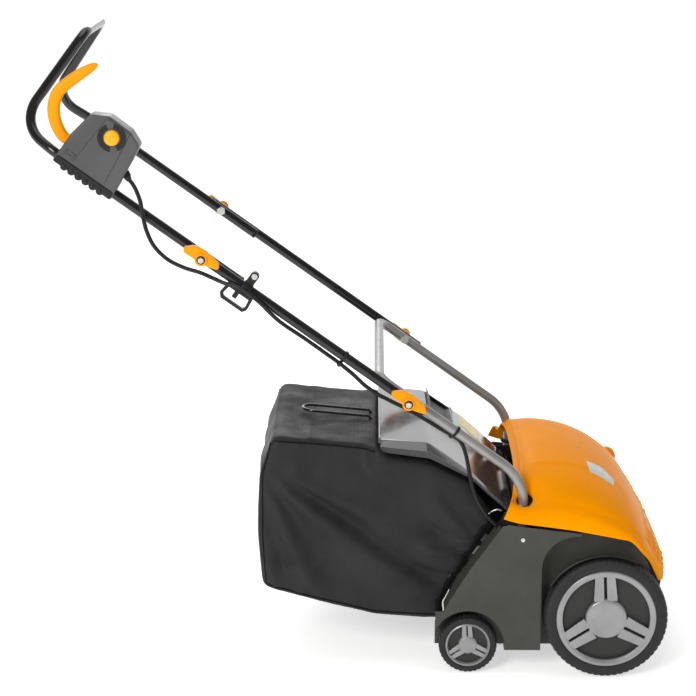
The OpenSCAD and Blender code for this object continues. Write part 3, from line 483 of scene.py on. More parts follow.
def hood_surface():
    """The hood's smooth skin as a grid of points in mm, and the station number of each row."""
    rows = catmull([(c[0], c[1], e[0], e[1], w, n) for c, e, w, n in STATIONS], 12)
    cols = np.linspace(-math.pi / 2, math.pi / 2, 221)
    sn, cn = np.sin(cols), np.abs(np.cos(cols))
    p = np.zeros((len(rows), len(cols), 3))
    for i, (cx, cz, ex, ez, w, n) in enumerate(rows):
        across = np.sign(sn) * np.abs(sn) ** (2 / n)
        drop = 1 - cn ** (2 / n)
        p[i, :, 0] = cx + (ex - cx) * drop
        p[i, :, 1] = w * across
        p[i, :, 2] = cz + (ez - cz) * drop
    return p, np.linspace(0, len(STATIONS) - 1, len(rows))


def grid_normals(p):
    """Unit normals of a grid of points."""
    n = np.cross(np.gradient(p, axis=0), np.gradient(p, axis=1))
    return n / np.maximum(np.linalg.norm(n, axis=2, keepdims=True), 1e-9)


def hood_relief(s, y):
    """How far the skin stands out at station s and distance y from the centreline."""
    h = np.zeros_like(y)
    # raised rib parallel to the rear rim, fading out over the leg pockets
    h += 1.8 * np.exp(-((s - 0.72) / 0.16) ** 2) * (1 - smoothstep(205, 232, y))
    # the rear strip behind the rib is a step lower
    h -= 1.6 * (1 - smoothstep(0.5, 0.72, s)) * (1 - smoothstep(215, 240, y))
    # raised centre panel with soft edges
    panel_side = 1 - smoothstep(128, 143, y + (s - 3) * 6)
    h += 1.7 * smoothstep(1.0, 1.5, s) * (1 - smoothstep(5.2, 6.4, s)) * panel_side
    # the skirt stands proud of the side above the lower edge
    low = smoothstep(249, 259.5, y) * (1 - smoothstep(7.6, 8.3, s))
    h += 1.3 * low
    h -= 1.6 * np.exp(-((y - 246) / 7) ** 2) * smoothstep(1.2, 2.2, s) * (1 - smoothstep(7.2, 8.2, s))
    # faceted relief on the front corners
    fu, fv = (y - 120) / 31.0, (s - 8.2) / 1.35
    d1, d2 = fu + fv, fu - fv
    tri = lambda q: np.abs((q % 1) - 0.5) * 2
    face = smoothstep(8.0, 8.4, s) * (1 - smoothstep(11.3, 11.8, s))
    face = face * smoothstep(108, 118, y) * (1 - smoothstep(205, 222, y))
    h += 5.0 * face * (np.minimum(tri(d1), tri(d2)) - 0.4)
    return h


def scoop_leg_pockets(p):
    """Lowers the skin round each silver leg, and keeps it above the bumper."""
    r2 = ((p[..., 0] + 139) / 24) ** 2 + ((np.abs(p[..., 1]) - 228) / 22) ** 2
    p[..., 2] -= 27 * np.exp(-r2) * (np.abs(p[..., 1]) < 262)
    p[..., 2] = np.maximum(p[..., 2], 151)


def face_up(o, probe):
    """Turns all faces over if the face numbered probe looks down."""
    bm = bmesh.new()
    bm.from_mesh(o.data)
    bm.faces.ensure_lookup_table()
    if bm.faces[probe].normal.z < 0:
        bmesh.ops.reverse_faces(bm, faces=bm.faces)
    bm.to_mesh(o.data)
    bm.free()


def hood_cutters():
    """One mesh of closed bars: the two leg holes and the vent slots of the nose."""
    vs, fs = [], []

    def add_bar(outline, lo, hi, up):
        b, k = len(vs), len(outline)
        for end in (lo, hi):
            for q in outline:
                vs.append(at(*(np.array(q) + np.array(up) * end)))
        fs.append(tuple(range(b, b + k)))
        fs.append(tuple(range(b + k, b + 2 * k)))
        fs.extend((b + i, b + (i + 1) % k, b + k + (i + 1) % k, b + k + i) for i in range(k))

    for sgn in (-1, 1):
        add_bar([(-139 + 14.5 * math.cos(t), sgn * 224 + 14 * math.sin(t), 0)
                 for t in np.linspace(0, 2 * math.pi, 33)[:-1]], 235, 345, (0, 0, 1))
        for i in range(VENTS):
            y = sgn * (26 + i * 15)
            for mid, tall in VENT_ROWS:
                line = fillet([(y - 4.2, mid - tall / 2 * 1.3), (y + 4.2, mid - tall / 2),
                               (y + 4.2, mid + tall / 2), (y - 4.2, mid + tall / 2 * 0.8)], 2.5, 3)
                add_bar([(0, q[0], q[1]) for q in line], 60, 130, (1, 0, 0))
    return vs, fs


def build_hood():
    """The hood's shell, with relief, leg pockets, leg holes and vents cut through."""
    p, s = hood_surface()
    n = grid_normals(p)
    if n[10, 110, 2] < 0:
        n = -n
    y = np.abs(p[..., 1])
    p = p + n * hood_relief(s[:, None] * np.ones_like(y), y)[..., None]
    scoop_leg_pockets(p)
    o = piece("hood_shell", [at(*q) for q in p.reshape(-1, 3)], grid_faces(p.shape[0], p.shape[1]), "orange",
              None)
    face_up(o, len(o.data.polygons) // 4)
    modifier(o, "SOLIDIFY", thickness=0.003, offset=-1)
    apply_all(o)
    cut(o, *hood_cutters())
    sharp(o, 38)
    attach(o, "chassis")
    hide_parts("hood")
    return o


def build_vent_shade_plate():
    """A dark plate close behind the vents, shaped like the nose: painted shade that stands in for the dark
    inside the vent holes.
    """
    rows = catmull([[c[0][0] - 9, c[0][1] - 7, c[1][0] - 12, c[1][1] - 6, c[2] * 0.5, 2.6]
                    for c in STATIONS[8:12]], 5)
    cols = np.linspace(-math.pi / 2, math.pi / 2, 41)
    verts = []
    for cx, cz, ex, ez, w, k in rows:
        for t in cols:
            d = (1 - abs(math.cos(t)) ** (2 / k)) * 0.35
            y = w * math.copysign(abs(math.sin(t)) ** (2 / k), t)
            verts.append(at(cx + (ex - cx) * d, y, cz + (ez - cz) * d))
    o = piece("vent_shade_plate", verts, grid_faces(len(rows), len(cols)), "black", "chassis")
    modifier(o, "SOLIDIFY", thickness=0.0015, offset=-1)


hood = build_hood()
build_vent_shade_plate()


def decal(name, host, corners, mat, body, lift=0.35, r=3, rings=16):
    """A thin blank label laid on a host's upper surface, from a corner list in (x, y) mm."""
    bvh = BVHTree.FromObject(host, bpy.context.evaluated_depsgraph_get())
    ring = spread(fillet(corners, r, 4), 2, True)
    centre = np.mean(ring, axis=0)
    verts = []
    for under in (0, 1):
        for k in range(rings + 1):
            for q in ring:
                w = centre + (q - centre) * max(k, 0.03) / rings
                hit, nor, _, _ = bvh.ray_cast(at(w[0], w[1], 600), Vector((0, 0, -1)))
                if nor.z < 0:
                    nor = -nor
                verts.append(hit + nor * ((lift - 0.6 * under) / 1000))
    n, m = len(ring), (rings + 1) * len(ring)
    faces = grid_faces(rings + 1, n, wrap_cols=True) + grid_faces(rings + 1, n, wrap_cols=True, base=m)
    faces += [tuple(range(n)), tuple(range(m, m + n))]
    edge = rings * n
    faces += [(edge + i, edge + (i + 1) % n, m + edge + (i + 1) % n, m + edge + i) for i in range(n)]
    return piece(name, verts, faces, mat, body)


decal("hood_blank_label", hood, [(-20, -138), (-23, -96), (4, -90), (25, -112), (22, -138)], "label_pale",
      "chassis")

# rubber collars where the silver legs go through the hood
for sgn, side in ((-1, "right"), (1, "left")):
    ring = [(10.5 + 3.2 * math.cos(t), 3.2 * math.sin(t)) for t in np.linspace(0, 2 * math.pi, 13)[:-1]]
    verts = []
    for k in range(40):
        t = 2 * math.pi * k / 40
        for r, out in ring:
            verts.append(at(LEG_X + r * math.cos(t), sgn * LEG_Y + r * math.sin(t), 279 + out))
    piece(f"leg_collar_{side}", verts, grid_faces(40, len(ring), True, True), "black", "chassis")


# ---- rear flap ----
def build_flap():
    """The rear flap: a crowned shell with thin side skirts, a finger grip and its hinge barrels."""
    top = spread(fillet([(-385, 394), (-302, 388), (-234, 340), (-178, 290), (-158, 268.5)],
                        [0, 26, 30, 40, 0], 8, False), 3)
    low = spread(fillet([(-384.5, 376), (-368, 373), (-300, 364), (-232, 330), (-172, 276), (-158.5, 263)],
                        [0, 10, 26, 30, 30, 0], 8, False), 3)
    n = 90
    pick = lambda line: line[np.linspace(0, len(line) - 1, n).round().astype(int)]
    a, b = pick(top), pick(low)
    # one edge of the section, from its lower line (1) to its top line (0)
    half = [(-194.6, 1.0), (-195, 0.62), (-195, 0.55), (-196.2, 0.5), (-196.2, 0.45), (-194.6, 0.4),
            (-192, 0.3), (-183.5, 0.035), (-181.5, 0.0)]
    ys = half + [(y, 0.0) for y in np.linspace(-175, 175, 41)] + [(-y, f) for y, f in reversed(half)]
    verts = []
    for i in range(n):
        for y, f in ys:
            q = a[i] * (1 - f) + b[i] * f
            crown = 1.2 * max(0, 1 - (y / 182) ** 2) if f == 0 else 0
            verts.append(at(q[0] + 0.5 * crown, y, q[1] + crown - 0.8))
    o = piece("flap_shell", verts, grid_faces(n, len(ys)), "flap", None)
    o.data.materials.append(M["flap_edge"])
    skirt = {j for j, (y, f) in enumerate(ys[:-1]) if max(f, ys[j + 1][1]) > 0.56}
    cols = len(ys) - 1
    for k, f in enumerate(o.data.polygons):
        if k % cols in skirt:
            f.material_index = 1
    face_up(o, len(o.data.polygons) // 2 + 20)
    modifier(o, "SOLIDIFY", thickness=0.0026, offset=-1)
    apply_all(o)
    # opening of the finger grip
    ring = fillet([(-296, 62), (-296, 186), (-255, 186), (-251, 62)], 5, 4)
    vs = [at(q[0], q[1], 320) for q in ring] + [at(q[0], q[1], 430) for q in ring]
    k = len(ring)
    cut(o, vs, [tuple(range(k)), tuple(range(k, 2 * k))]
        + [(i, (i + 1) % k, k + (i + 1) % k, k + i) for i in range(k)])
    sharp(o, 30)
    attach(o, "rear_flap")
    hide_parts("rear_flap")
    # the grip's black cup
    prof = [(-297, 389), (-290, 368), (-262, 350), (-250, 351.5)]
    line = spread(fillet(prof, [0, 8, 8, 0], 5, False), 3)
    vs = []
    for q in line:
        for y in (60, 63, 125, 185, 188):
            vs.append(at(q[0], y, q[1]))
    cup = piece("flap_grip_cup", vs, grid_faces(len(line), 5), "black", "rear_flap")
    modifier(cup, "SOLIDIFY", thickness=0.0018, offset=0)
    # rear edge bar and hinge barrels
    sweep("flap_rear_edge", [at(-385.5, y, 391) for y in np.linspace(-192, 192, 13)], 0.0027, "flap",
          "rear_flap", 12)
    for sgn in (-1, 1):
        for y in (175, 140):
            sweep(f"flap_hinge_{'r' if sgn < 0 else 'l'}{y}",
                  [at(-158, sgn * (y + d), 262) for d in (-9, -8, 0, 8, 9)],
                  [0.006, 0.0068, 0.0068, 0.0068, 0.006], "flap_edge", "rear_flap", 24)
    return o


flap = build_flap()
decal("flap_blank_label", flap, [(-236, 96), (-236, 184), (-202, 184), (-202, 96)], "label_yellow",
      "rear_flap")


# ---- collector bag: one cloth shell, open at the mouth, with folds pulled by its corners ----
BAG = [(-568, 401), (-593, 336), (-594, 229), (-587, 136), (-522, 117), (-393, 84), (-272, 78), (-279, 112),
       (-236, 189), (-188, 262), (-234, 322), (-302, 356), (-371, 366), (-391, 385)]
BAG_HALF = 212
BAG_CORNER = (14, 16, 40, 16, 10, 40, 8, 8, 12, 10, 14, 20, 10, 12)
# creases on a side: start x, z; end x, z; depth; half width at start and end
CREASES = [
    (-578, 352, -262, 128, -5.2, 9, 15), (-575, 345, -380, 258, 3.0, 8, 16),
           (-578, 340, -330, 108, 3.6, 10, 26),
    (-576, 335, -452, 118, -3.4, 9, 20), (-582, 322, -505, 130, 3.4, 8, 18),
           (-588, 300, -548, 150, -3.6, 8, 13),
    (-590, 196, -560, 128, 3.6, 10, 9), (-585, 150, -520, 215, -2.8, 8, 16),
           (-530, 122, -478, 205, 2.2, 8, 15),
    (-230, 190, -318, 262, -3.0, 5, 13), (-240, 178, -330, 225, 2.2, 5, 12),
           (-252, 158, -335, 170, -2.6, 5, 11),
    (-262, 140, -345, 132, 2.0, 5, 10), (-268, 118, -350, 100, -2.2, 5, 12),
           (-222, 215, -300, 305, 2.2, 5, 12),
    (-205, 240, -262, 296, -2.4, 5, 10), (-300, 240, -215, 225, -2.4, 9, 4),
           (-320, 205, -232, 200, 2.2, 10, 5)]


def ridge(x, z, crease, wobble):
    """Height of one crease of the cloth at (x, z): a ridge with a shallow valley beside it."""
    x0, z0, x1, z1, depth, w0, w1 = crease
    dx, dz = x1 - x0, z1 - z0
    length = math.hypot(dx, dz)
    t = ((x - x0) * dx + (z - z0) * dz) / length ** 2
    off = ((x - x0) * dz - (z - z0) * dx) / length + wobble * np.sin(t * 7 + x0) * np.clip(t, 0, 1)
    w = w0 + (w1 - w0) * np.clip(t, 0, 1)
    s = off / w
    shape = np.exp(-s ** 2) - 0.55 * np.exp(-(s - 1.5) ** 2)
    return depth * shape * smoothstep(-0.04, 0.12, t) * (1 - smoothstep(0.8, 1.08, t))


def open_mouth(me):
    """Takes away the cloth across the mouth, whose edge runs up and forward, and softens what is left."""
    bm = bmesh.new()
    bm.from_mesh(me)
    gone = []
    for f in bm.faces:
        c, nor = f.calc_center_median(), f.normal
        cx, cz = (c.x - AXLE_X) * 1000, c.z * 1000
        ahead = (cx + 279) * 150 - (cz - 112) * 91 > -7 * 175
        if nor.x > 0.35 and abs(c.y) < 0.198 and 84 < cz < 256 and ahead:
            gone.append(f)
    bmesh.ops.delete(bm, geom=gone, context="FACES")
    bmesh.ops.smooth_vert(bm, verts=bm.verts, factor=0.35, use_axis_x=True, use_axis_y=True, use_axis_z=True)
    bm.to_mesh(me)
    bm.free()


def build_bag():
    """The collector's cloth: a closed form remeshed fine, pulled into folds and opened at the mouth."""
    ring = spread(fillet(BAG, BAG_CORNER, 7), 6, True)
    n = len(ring)
    ys = [-1, -0.97, 0.97, 1]
    verts, faces = [], []
    inset_ring = np.array(ring) + (np.mean(ring, axis=0) - np.array(ring)) * 0.022
    for f in ys:
        r = inset_ring if abs(f) == 1 else ring
        verts += [at(q[0], f * BAG_HALF, q[1]) for q in r]
    faces = grid_faces(4, n, wrap_cols=True) + [tuple(range(n)), tuple(range(3 * n, 4 * n))]
    o = piece("bag_cloth", verts, faces, "fabric", None)
    modifier(o, "REMESH", mode="VOXEL", voxel_size=0.0052)
    modifier(o, "SMOOTH", factor=0.5, iterations=4)
    apply_all(o)
    me = o.data
    co = np.zeros(len(me.vertices) * 3)
    me.vertices.foreach_get("co", co)
    co = co.reshape(-1, 3)
    x, y, z = (co[:, 0] - AXLE_X) * 1000, co[:, 1] * 1000, co[:, 2] * 1000
    side = smoothstep(196, 211, np.abs(y))
    soft = np.array([noise(Vector((a / 90, b / 70, c / 90))) for a, b, c in zip(x, y, z)])
    fine = np.array([noise(Vector((a / 26 + 7, b / 26, c / 26))) for a, b, c in zip(x, y, z)])
    top_z = 401 + (x + 568) * (385 - 401) / 177
    edge = np.clip(np.minimum(top_z - z, np.minimum(x + 590, z - 90)) / 60, 0, 1)
    edge = edge * edge * (3 - 2 * edge)
    fold = np.zeros_like(x)
    for c in CREASES:
        fold += ridge(x + 0 * y, z, c, 2.2)
    # the far side takes the same pulls, shifted, so that the two sides are not mirror images
    far = np.zeros_like(x)
    for c in CREASES:
        far += ridge(x - 9 * np.sin(z / 40), z + 7, c, 3.0)
    pull = np.where(y < 0, fold, far)
    belly = 5.5 * np.exp(-((x + 430) / 130) ** 2 - ((z - 205) / 95) ** 2)
    dy = side * (pull * (0.35 + 0.65 * edge) * 2.1 + belly * edge - 2.2 * (1 - edge)
                 * smoothstep(0, 60, top_z - z)
                 + 4.0 * soft * edge + 1.6 * fine)
    # above the crease line the rear of the bag draws in towards its top
    draw_in = 22 * smoothstep(312, 392, z) * (1 - smoothstep(-418, -384, x))
    y2 = y + np.sign(y) * dy - y / BAG_HALF * draw_in
    # the top sags between its edges, with soft cross folds by the seam
    top = smoothstep(-9, -1.5, z - top_z) * smoothstep(-600, -560, x) * (1 - smoothstep(-400, -388, x))
    across = 1 - (y / BAG_HALF) ** 2
    z2 = z - top * (5.0 * across * np.sin(np.clip((x + 590) / 190, 0, 1) * math.pi) + 1.6 * soft + 0.8 * fine
                    + 1.1 * np.sin(x / 9 + y / 60) * np.exp(-((x + 515) / 26) ** 2))
    # rear face and floor bulge and fold
    rear = 1 - smoothstep(-588, -572, x)
    x2 = x - rear * (3.5 * across * np.exp(-((z - 230) / 100) ** 2) + 2.2 * soft + 1.2
                     * np.sin(y / 23 + z / 60) * across)
    floor_z = np.interp(x, [-594, -587, -522, -393, -272], [140, 136, 117, 84, 78])
    base = 1 - smoothstep(1.5, 9, z - floor_z)
    z2 -= base * (3.0 * across + 2.4 * soft + 1.2 * np.sin(x / 17) * across)
    # gathers along the mouth's edge
    mouth = np.abs(((x + 279) * (262 - 112) - (z - 112) * (-188 + 279)) / math.hypot(150, 91))
    run = ((x + 279) * 91 + (z - 112) * 150) / math.hypot(91, 150)
    near = np.exp(-(mouth / 16) ** 2) * side
    y2 += np.sign(y) * near * (1.5 * np.sin(run / 4.2) + 0.9 * np.sin(run / 2.3 + 1))
    co = np.stack([AXLE_X + x2 / 1000, y2 / 1000, z2 / 1000], axis=1)
    me.vertices.foreach_set("co", co.ravel())
    me.update()
    open_mouth(me)
    me.polygons.foreach_set("use_smooth", [True] * len(me.polygons))
    modifier(o, "SOLIDIFY", thickness=0.0012, offset=-1)
    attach(o, "bag")
    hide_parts("bag")
    return o


bag = build_bag()
bag_tree = BVHTree.FromObject(bag, bpy.context.evaluated_depsgraph_get())


def seam(name, points, look, r=0.0011, mat="binding", lift=0.5, step=4, flat=None):
    """A bead laid on the bag along points, found by looking at the cloth along `look`."""
    line = spread(points, step)
    path = []
    d = Vector(look)
    for q in line:
        hit, nor, _, _ = bag_tree.ray_cast(at(*q) - d * 0.15, d)
        if hit:
            path.append(hit + nor * (lift / 1000))
    smooth = [path[0]] + [(path[i - 1] + path[i] * 2 + path[i + 1]) / 4
                          for i in range(1, len(path) - 1)] + [path[-1]]
    return sweep(name, smooth, r, mat, "bag", 8, flat=flat, up=look)


seams = []
for sgn, side in ((-1, "right"), (1, "left")):
    y = sgn * BAG_HALF
    look = (0, -sgn, 0)
    seams += [
        seam(f"bag_seam_top_{side}", [(-572, y, 392), (-480, y, 386), (-394, y, 378)], look, 0.0016),
        seam(f"bag_seam_rear_{side}", [(-572, y, 388), (-586, y, 336), (-587, y, 229), (-581, y, 142)], look,
             0.0012),
        seam(f"bag_seam_floor_{side}", [(-580, y, 141), (-520, y, 124), (-393, y, 92), (-285, y, 86)], look,
             0.0013),
        seam(f"bag_binding_{side}", [(-283, y, 90), (-284, y, 112), (-241, y, 189), (-197, y, 257)], look,
             0.002,
             lift=0.7, flat=(0.013, 0.0024))]
for x in (-503, -505.5):
    seams.append(seam(f"bag_seam_cross_{int(-x)}", [(x, -182, 396), (x, 182, 396)], (0, 0, -1), 0.0007,
                      lift=0.2))
# wire ends that hook the bag's upper corners to the chassis
for sgn, side in ((-1, "right"), (1, "left")):
    sweep(f"bag_hook_wire_{side}", [at(x, sgn * y, z) for x, y, z in catmull(
        [(-204, 206, 262), (-197, 211, 272), (-186, 213, 278), (-176, 213, 276)], 5)], 0.0014, "steel", "bag",
          10)


# ---- switch box ----
BOX_U = 598


def in_box(u, w, y):
    """A point in the switch box, u from its front end."""
    return on_handle(BOX_U + u, w, y)


BOX = [(0, -7), (114, -7), (113, 48), (105, 92), (78, 107), (35, 106), (10, 95), (1, 16)]
BOX_R = [4, 4, 8, 10, 9, 9, 9, 6]
outer = fillet(BOX, BOX_R, 5)
shell = prism("switch_box_shell", outer, in_box, -210, -259, "box", "upper_handle", 5.5,
              ["switch_box", "switch_box_back"], 4)
centre = fillet([(85.5, 10.5), (78.5, 104), (34, 103), (22.5, 10.5)], [3, 3, 3, 3], 4)
prism("switch_box_panel", centre, in_box, -250, -261.6, "box", "upper_handle", 2.2)
rim = fillet([(1.5, -6), (112.5, -6), (112, 7.5), (2.5, 7.5)], [3, 3, 3, 3], 4)
prism("switch_box_band", rim, in_box, -211, -260.5, "black", "upper_handle", 2.5)
for i in range(6):
    u = 22 + i * 14
    sweep(f"switch_box_lobe_{i}", [in_box(u, -4.2, y) for y in (-212, -214, -236, -257, -260, -261.6)],
          [0.004, 0.0066, 0.0066, 0.0066, 0.0056, 0.003], "black", "upper_handle", 24)
for k, name in enumerate(("upper", "lower")):
    mid = math.radians(-42 + 180 * k)
    arc = [mid + math.radians(a) for a in np.linspace(-74, 74, 25)]
    ring = [(55 + 23.6 * math.cos(t), 81 + 23.6 * math.sin(t)) for t in arc]
    ring += [(55 + 14.6 * math.cos(t), 81 + 14.6 * math.sin(t)) for t in reversed(arc)]
    prism(f"button_ring_{name}", ring, in_box, -260.5, -262.0, "black", "upper_handle", 0.5)
DOME_SIDES = 48
BUTTON_U, BUTTON_W = 55, 81
verts = []
dome = [(0.02, 6.4), (4, 6.3), (8, 5.8), (11, 4.8), (12.4, 3.4), (12.8, 1.8), (12.8, -6), (0.02, -6)]
for k in range(DOME_SIDES):
    t = 2 * math.pi * k / DOME_SIDES
    verts += [in_box(BUTTON_U + r * math.cos(t), BUTTON_W + r * math.sin(t), -(262 + out)) for r, out in dome]
piece("button_dome", verts, grid_faces(DOME_SIDES, len(dome), wrap_rows=True), "yellow", "start_button",
      ["start_button"])
for i, bar in enumerate(([(88, 24), (104, 22)], [(88, 24), (90, 12)], [(104, 22), (105, 12)],
                         [(93, 17), (101, 16)])):
    sweep(f"box_tab_{i}", [in_box(u, w, -259.1) for u, w in bar], 0.0009, "box", "upper_handle", 8)
sweep("cable_gland", [at(*q)
                      for q in ((-805, -237, 863), (-802, -237.5, 857), (-800.6, -237.8, 853),
                                (-798, -238.2, 849))],
      [0.0066, 0.0066, 0.0058, 0.0042], "rubber", "upper_handle", 20)
# screws on the back half
for i, (u, w) in enumerate(((10, 22), (104, 54), (100, 86), (18, 90))):
    sweep(f"box_screw_{i}", [in_box(u, w, y) for y in (-210.5, -209.2, -208.9)], [0.0042, 0.0042, 0.0034],
          "steel",
          "upper_handle", 16)

# ---- switch lever ----
LEVER = [(100, 36), (110, 31.5), (124, 31), (146, 43), (162, 62), (169, 85), (165, 106), (156, 131),
         (146, 153), (142, 160)]
WIDE = [(14, 12), (17, 15), (19, 16), (20, 16), (20.5, 16), (20.5, 16), (20, 15.5), (18.5, 15), (13, 12),
        (5, 7)]
rows = catmull([(*a, *b) for a, b in zip(LEVER, WIDE)], 6)
sweep("lever_grip", [in_box(q[0], q[1], -225) for q in rows], 0.01, "orange_part", "switch_lever", 28,
      replaces=["switch_lever"], flat=[(q[2] / 1000, q[3] / 1000) for q in rows],
      up=(0, 1, 0))

# ---- cam levers ----
CAM = [(36, 1), (20, 14), (3, 16), (-27, 12), (-35, 2), (-18, -3), (0, -8), (11, -6), (30, -7)]
for u0, end in ((0, "lower"), (UPPER_FOLD_U, "upper")):
    for sgn, side in ((-1, "right"), (1, "left")):
        line = fillet([(-p[0], -sgn * p[1]) for p in CAM], [4, 8, 10, 6, 5, 10, 8, 5, 4], 5)
        body = f"cam_lever_{end}_{side}"
        place = lambda u, w, y, u0=u0, sgn=sgn: on_handle(u0 - u, w, sgn * y)
        lo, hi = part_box(body)
        y_in, y_out = min(abs(lo.y), abs(hi.y)) * 1000, max(abs(lo.y), abs(hi.y)) * 1000
        prism(f"{body}_arm", line, place, y_in, y_out - 3, "orange_part", body, 2.6, [body],
              4)
        # the black disc on each boss is painted shade, standing in for the dark recess round the bolt head
        for name, r, a, b, mat in (("boss", 10.5, y_out - 6, y_out - 0.2, "orange_part"),
                                   ("well", 7.6, y_out - 2, y_out + 0.15, "black")):
            sweep(f"{body}_{name}", [place(0, 0, y) for y in (a, b - 0.6, b)],
                  [r / 1000, r / 1000, (r - 0.6) / 1000], mat, body, 32)
        bolt_body = "chassis" if end == "lower" else "mid_handle"
        for name, sides, r, a, b in (("shank", 24, 4, 209, 252), ("nut", 6, 8.2, 208.5, 214.5),
                                     ("washer", 32, 8, 249.6, 252.2),
                                     ("head", 6, 5.4, 267.8, 271.4)):
            o = sweep(f"lock_bolt_{end}_{side}_{name}", [place(0, 0, y) for y in (a, a + 0.4, b - 0.5, b)],
                      [(r - 0.5) / 1000, r / 1000, r / 1000, (r - 0.7) / 1000], "steel", bolt_body, sides,
                      replaces=[f"lock_bolts_{end}"] if name == "shank" and sgn < 0 else ())
            sharp(o, 30)

# ---- wheels ----
for end, tread in (("front", 60), ("rear", 36)):
    for sgn, side in ((-1, "right"), (1, "left")):
        body = f"{end}_wheel_{side}"
        lo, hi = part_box(f"{end}_tyre_{side}")
        c = (lo + hi) / 2
        r = (hi.z - lo.z) * 500
        y_out = max(abs(lo.y), abs(hi.y)) * 1000
        y_in = min(abs(lo.y), abs(hi.y)) * 1000
        w = y_out - y_in
        c.y = 0
        rim = r * (0.815 if end == "front" else 0.78)
        e = min(5, r * 0.07)
        prof = [(rim, y_out - 0.6), (rim + 1.2, y_out), (r - e * 1.6, y_out),
                (r - e * 0.55, y_out - e * 0.45),
                (r - 0.3, y_out - e * 1.4), (r, y_out - w * 0.28), (r, y_out - w * 0.34),
                (r - 1.6, y_out - w * 0.36),
                (r - 1.6, y_out - w * 0.40), (r, y_out - w * 0.42), (r, y_out - w * 0.58),
                (r - 1.6, y_out - w * 0.60),
                (r - 1.6, y_out - w * 0.64), (r, y_out - w * 0.66), (r - 0.3, y_in + e * 1.4),
                (r - e * 0.55, y_in + e * 0.45),
                (r - e * 1.6, y_in), (rim + 1.2, y_in), (rim, y_in + 0.6)]
        steps = tread * 6

        def block(t, j, rr, out, r=r, tread=tread, count=len(prof)):
            k = (t / (2 * math.pi) * tread) % 1
            groove = 1 if (k < 0.17 or k > 0.995) else 0
            if rr > r - 3.2:
                rr -= 1.1 * groove
            return rr, out

        t_ = lathe(f"{body}_tread", prof, c, sgn, "tyre", body, steps, [f"{end}_tyre_{side}"],
                   block)
        sharp(t_, 35)
        lo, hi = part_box(f"{end}_trim_{side}")
        ty = max(abs(lo.y), abs(hi.y)) * 1000
        tr = (hi.z - lo.z) * 500
        cap = r * (0.33 if end == "front" else 0.32)
        band = tr * 0.125
        ring = [(tr, ty - 7), (tr, ty - 2.2), (tr - 1.0, ty - 0.6), (tr - 3, ty), (tr - band * 0.6, ty - 0.3),
                (tr - band, ty - 2.4), (tr - band - 0.6, ty - 7)]
        sharp(lathe(f"{body}_trim_ring", ring, c, sgn, "silver_plastic", body, 128, [f"{end}_trim_{side}"]), 45)
        hub = [(0.02, ty + 0.2), (cap * 0.5, ty), (cap * 0.82, ty - 0.5), (cap - 1.5, ty - 1.2),
               (cap, ty - 2.8),
               (cap + 0.6, ty - 8), (0.02, ty - 8)]
        sharp(lathe(f"{body}_hub_cap", hub, c, sgn, "silver_plastic", body, 96,
                    closed=False), 45)
        half, gap = r * 0.172, r * 0.024
        for i, a in enumerate((93, 213, 333)):
            a = math.radians(a)
            ca, sa = math.cos(a), math.sin(a)
            for s2, tag in ((-1, "a"), (1, "b")):
                pts = [(cap - 3, s2 * gap), (tr - band + 1, s2 * gap), (tr - band + 1.5, s2 * half * 0.93),
                       (cap - 3, s2 * half * 1.12)]
                pts = fillet(pts, [0.6, 0.6, 0.6, 0.6], 2)
                flat_y = lambda p, q, y, c=c, ca=ca, sa=sa: Vector((c.x + (p * ca - q * sa) / 1000, y / 1000,
                                                                    c.z + (p * sa + q * ca) / 1000))
                prism(f"{body}_spoke_{i}{tag}", pts, flat_y, sgn * (ty - 6.5), sgn * (ty - 1.6),
                      "silver_plastic", body,
                      1.3 if end == "front" else 0.7)

# ---- cable: two runs, each laid across one fold of the handle ----
TOP = [(-800, -238, 852), (-790, -239, 838), (-781, -241, 815), (-777, -242, 790), (-771, -243, 765),
       (-759, -244, 740),
       (-737, -244, 718), (-709, -244, 704), (-685, -246, 697), (-664, -246.5, 688), (-645, -249, 680),
       (-628, -255, 676),
       (-612, -257.5, 670), (-596, -257.5, 658), (-581, -255, 644), (-567, -250, 628), (-548, -245, 610),
       (-508, -243, 582),
       (-453, -243, 542)]
LOW = [(-453, -243, 542), (-429, -241, 521), (-411, -238.5, 503), (-389, -237, 487), (-376, -228, 478),
       (-361, -216, 467),
       (-341, -208, 455), (-311, -206.5, 437), (-285, -206.5, 421), (-264, -207.5, 409), (-249, -210, 398.5),
       (-240, -211.5, 378), (-234, -215, 350), (-229, -218.5, 324), (-221, -221, 300), (-208, -223, 278),
       (-192, -224, 259),
       (-176, -224, 247), (-159, -224, 243)]
upper_run = sweep("cable_upper_run", [at(*q) for q in catmull(TOP, 6)], 0.0035, "rubber", None, 14,
                  replaces=["cable_top", "cable_mid"])
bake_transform(upper_run)
lower_run = sweep("cable_lower_run", [at(*q) for q in catmull(LOW, 6)], 0.0035, "rubber", None, 14,
                  replaces=["cable_lower"])
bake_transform(lower_run)

# ---- mudguard lips that ride with the axle, close over the front tyres and outside the side panels ----
LIP = [(107, 0.8), (107, 7), (108.4, 11), (111, 12.8), (112.6, 11.6), (110.6, 9), (109.4, 5), (109.4, 0.8)]
LIP_ANGLES = np.radians(np.linspace(62, 150, 60))
for sgn, side in ((-1, "right"), (1, "left")):
    lo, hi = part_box(f"side_panel_{side}")
    panel_out = max(abs(lo.y), abs(hi.y))
    lo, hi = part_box(f"front_tyre_{side}")
    c = (lo + hi) / 2
    verts = [Vector((c.x + r * math.cos(t) / 1000, sgn * (panel_out + out / 1000),
                     c.z + r * math.sin(t) / 1000))
             for t in LIP_ANGLES for r, out in LIP]
    k = len(LIP)
    faces = grid_faces(len(LIP_ANGLES), k, wrap_cols=True) + [tuple(range(k)),
                                                              tuple(range(len(verts) - k, len(verts)))]
    sharp(piece(f"arch_lip_{side}", verts, faces, "chassis", "front_axle"), 40)

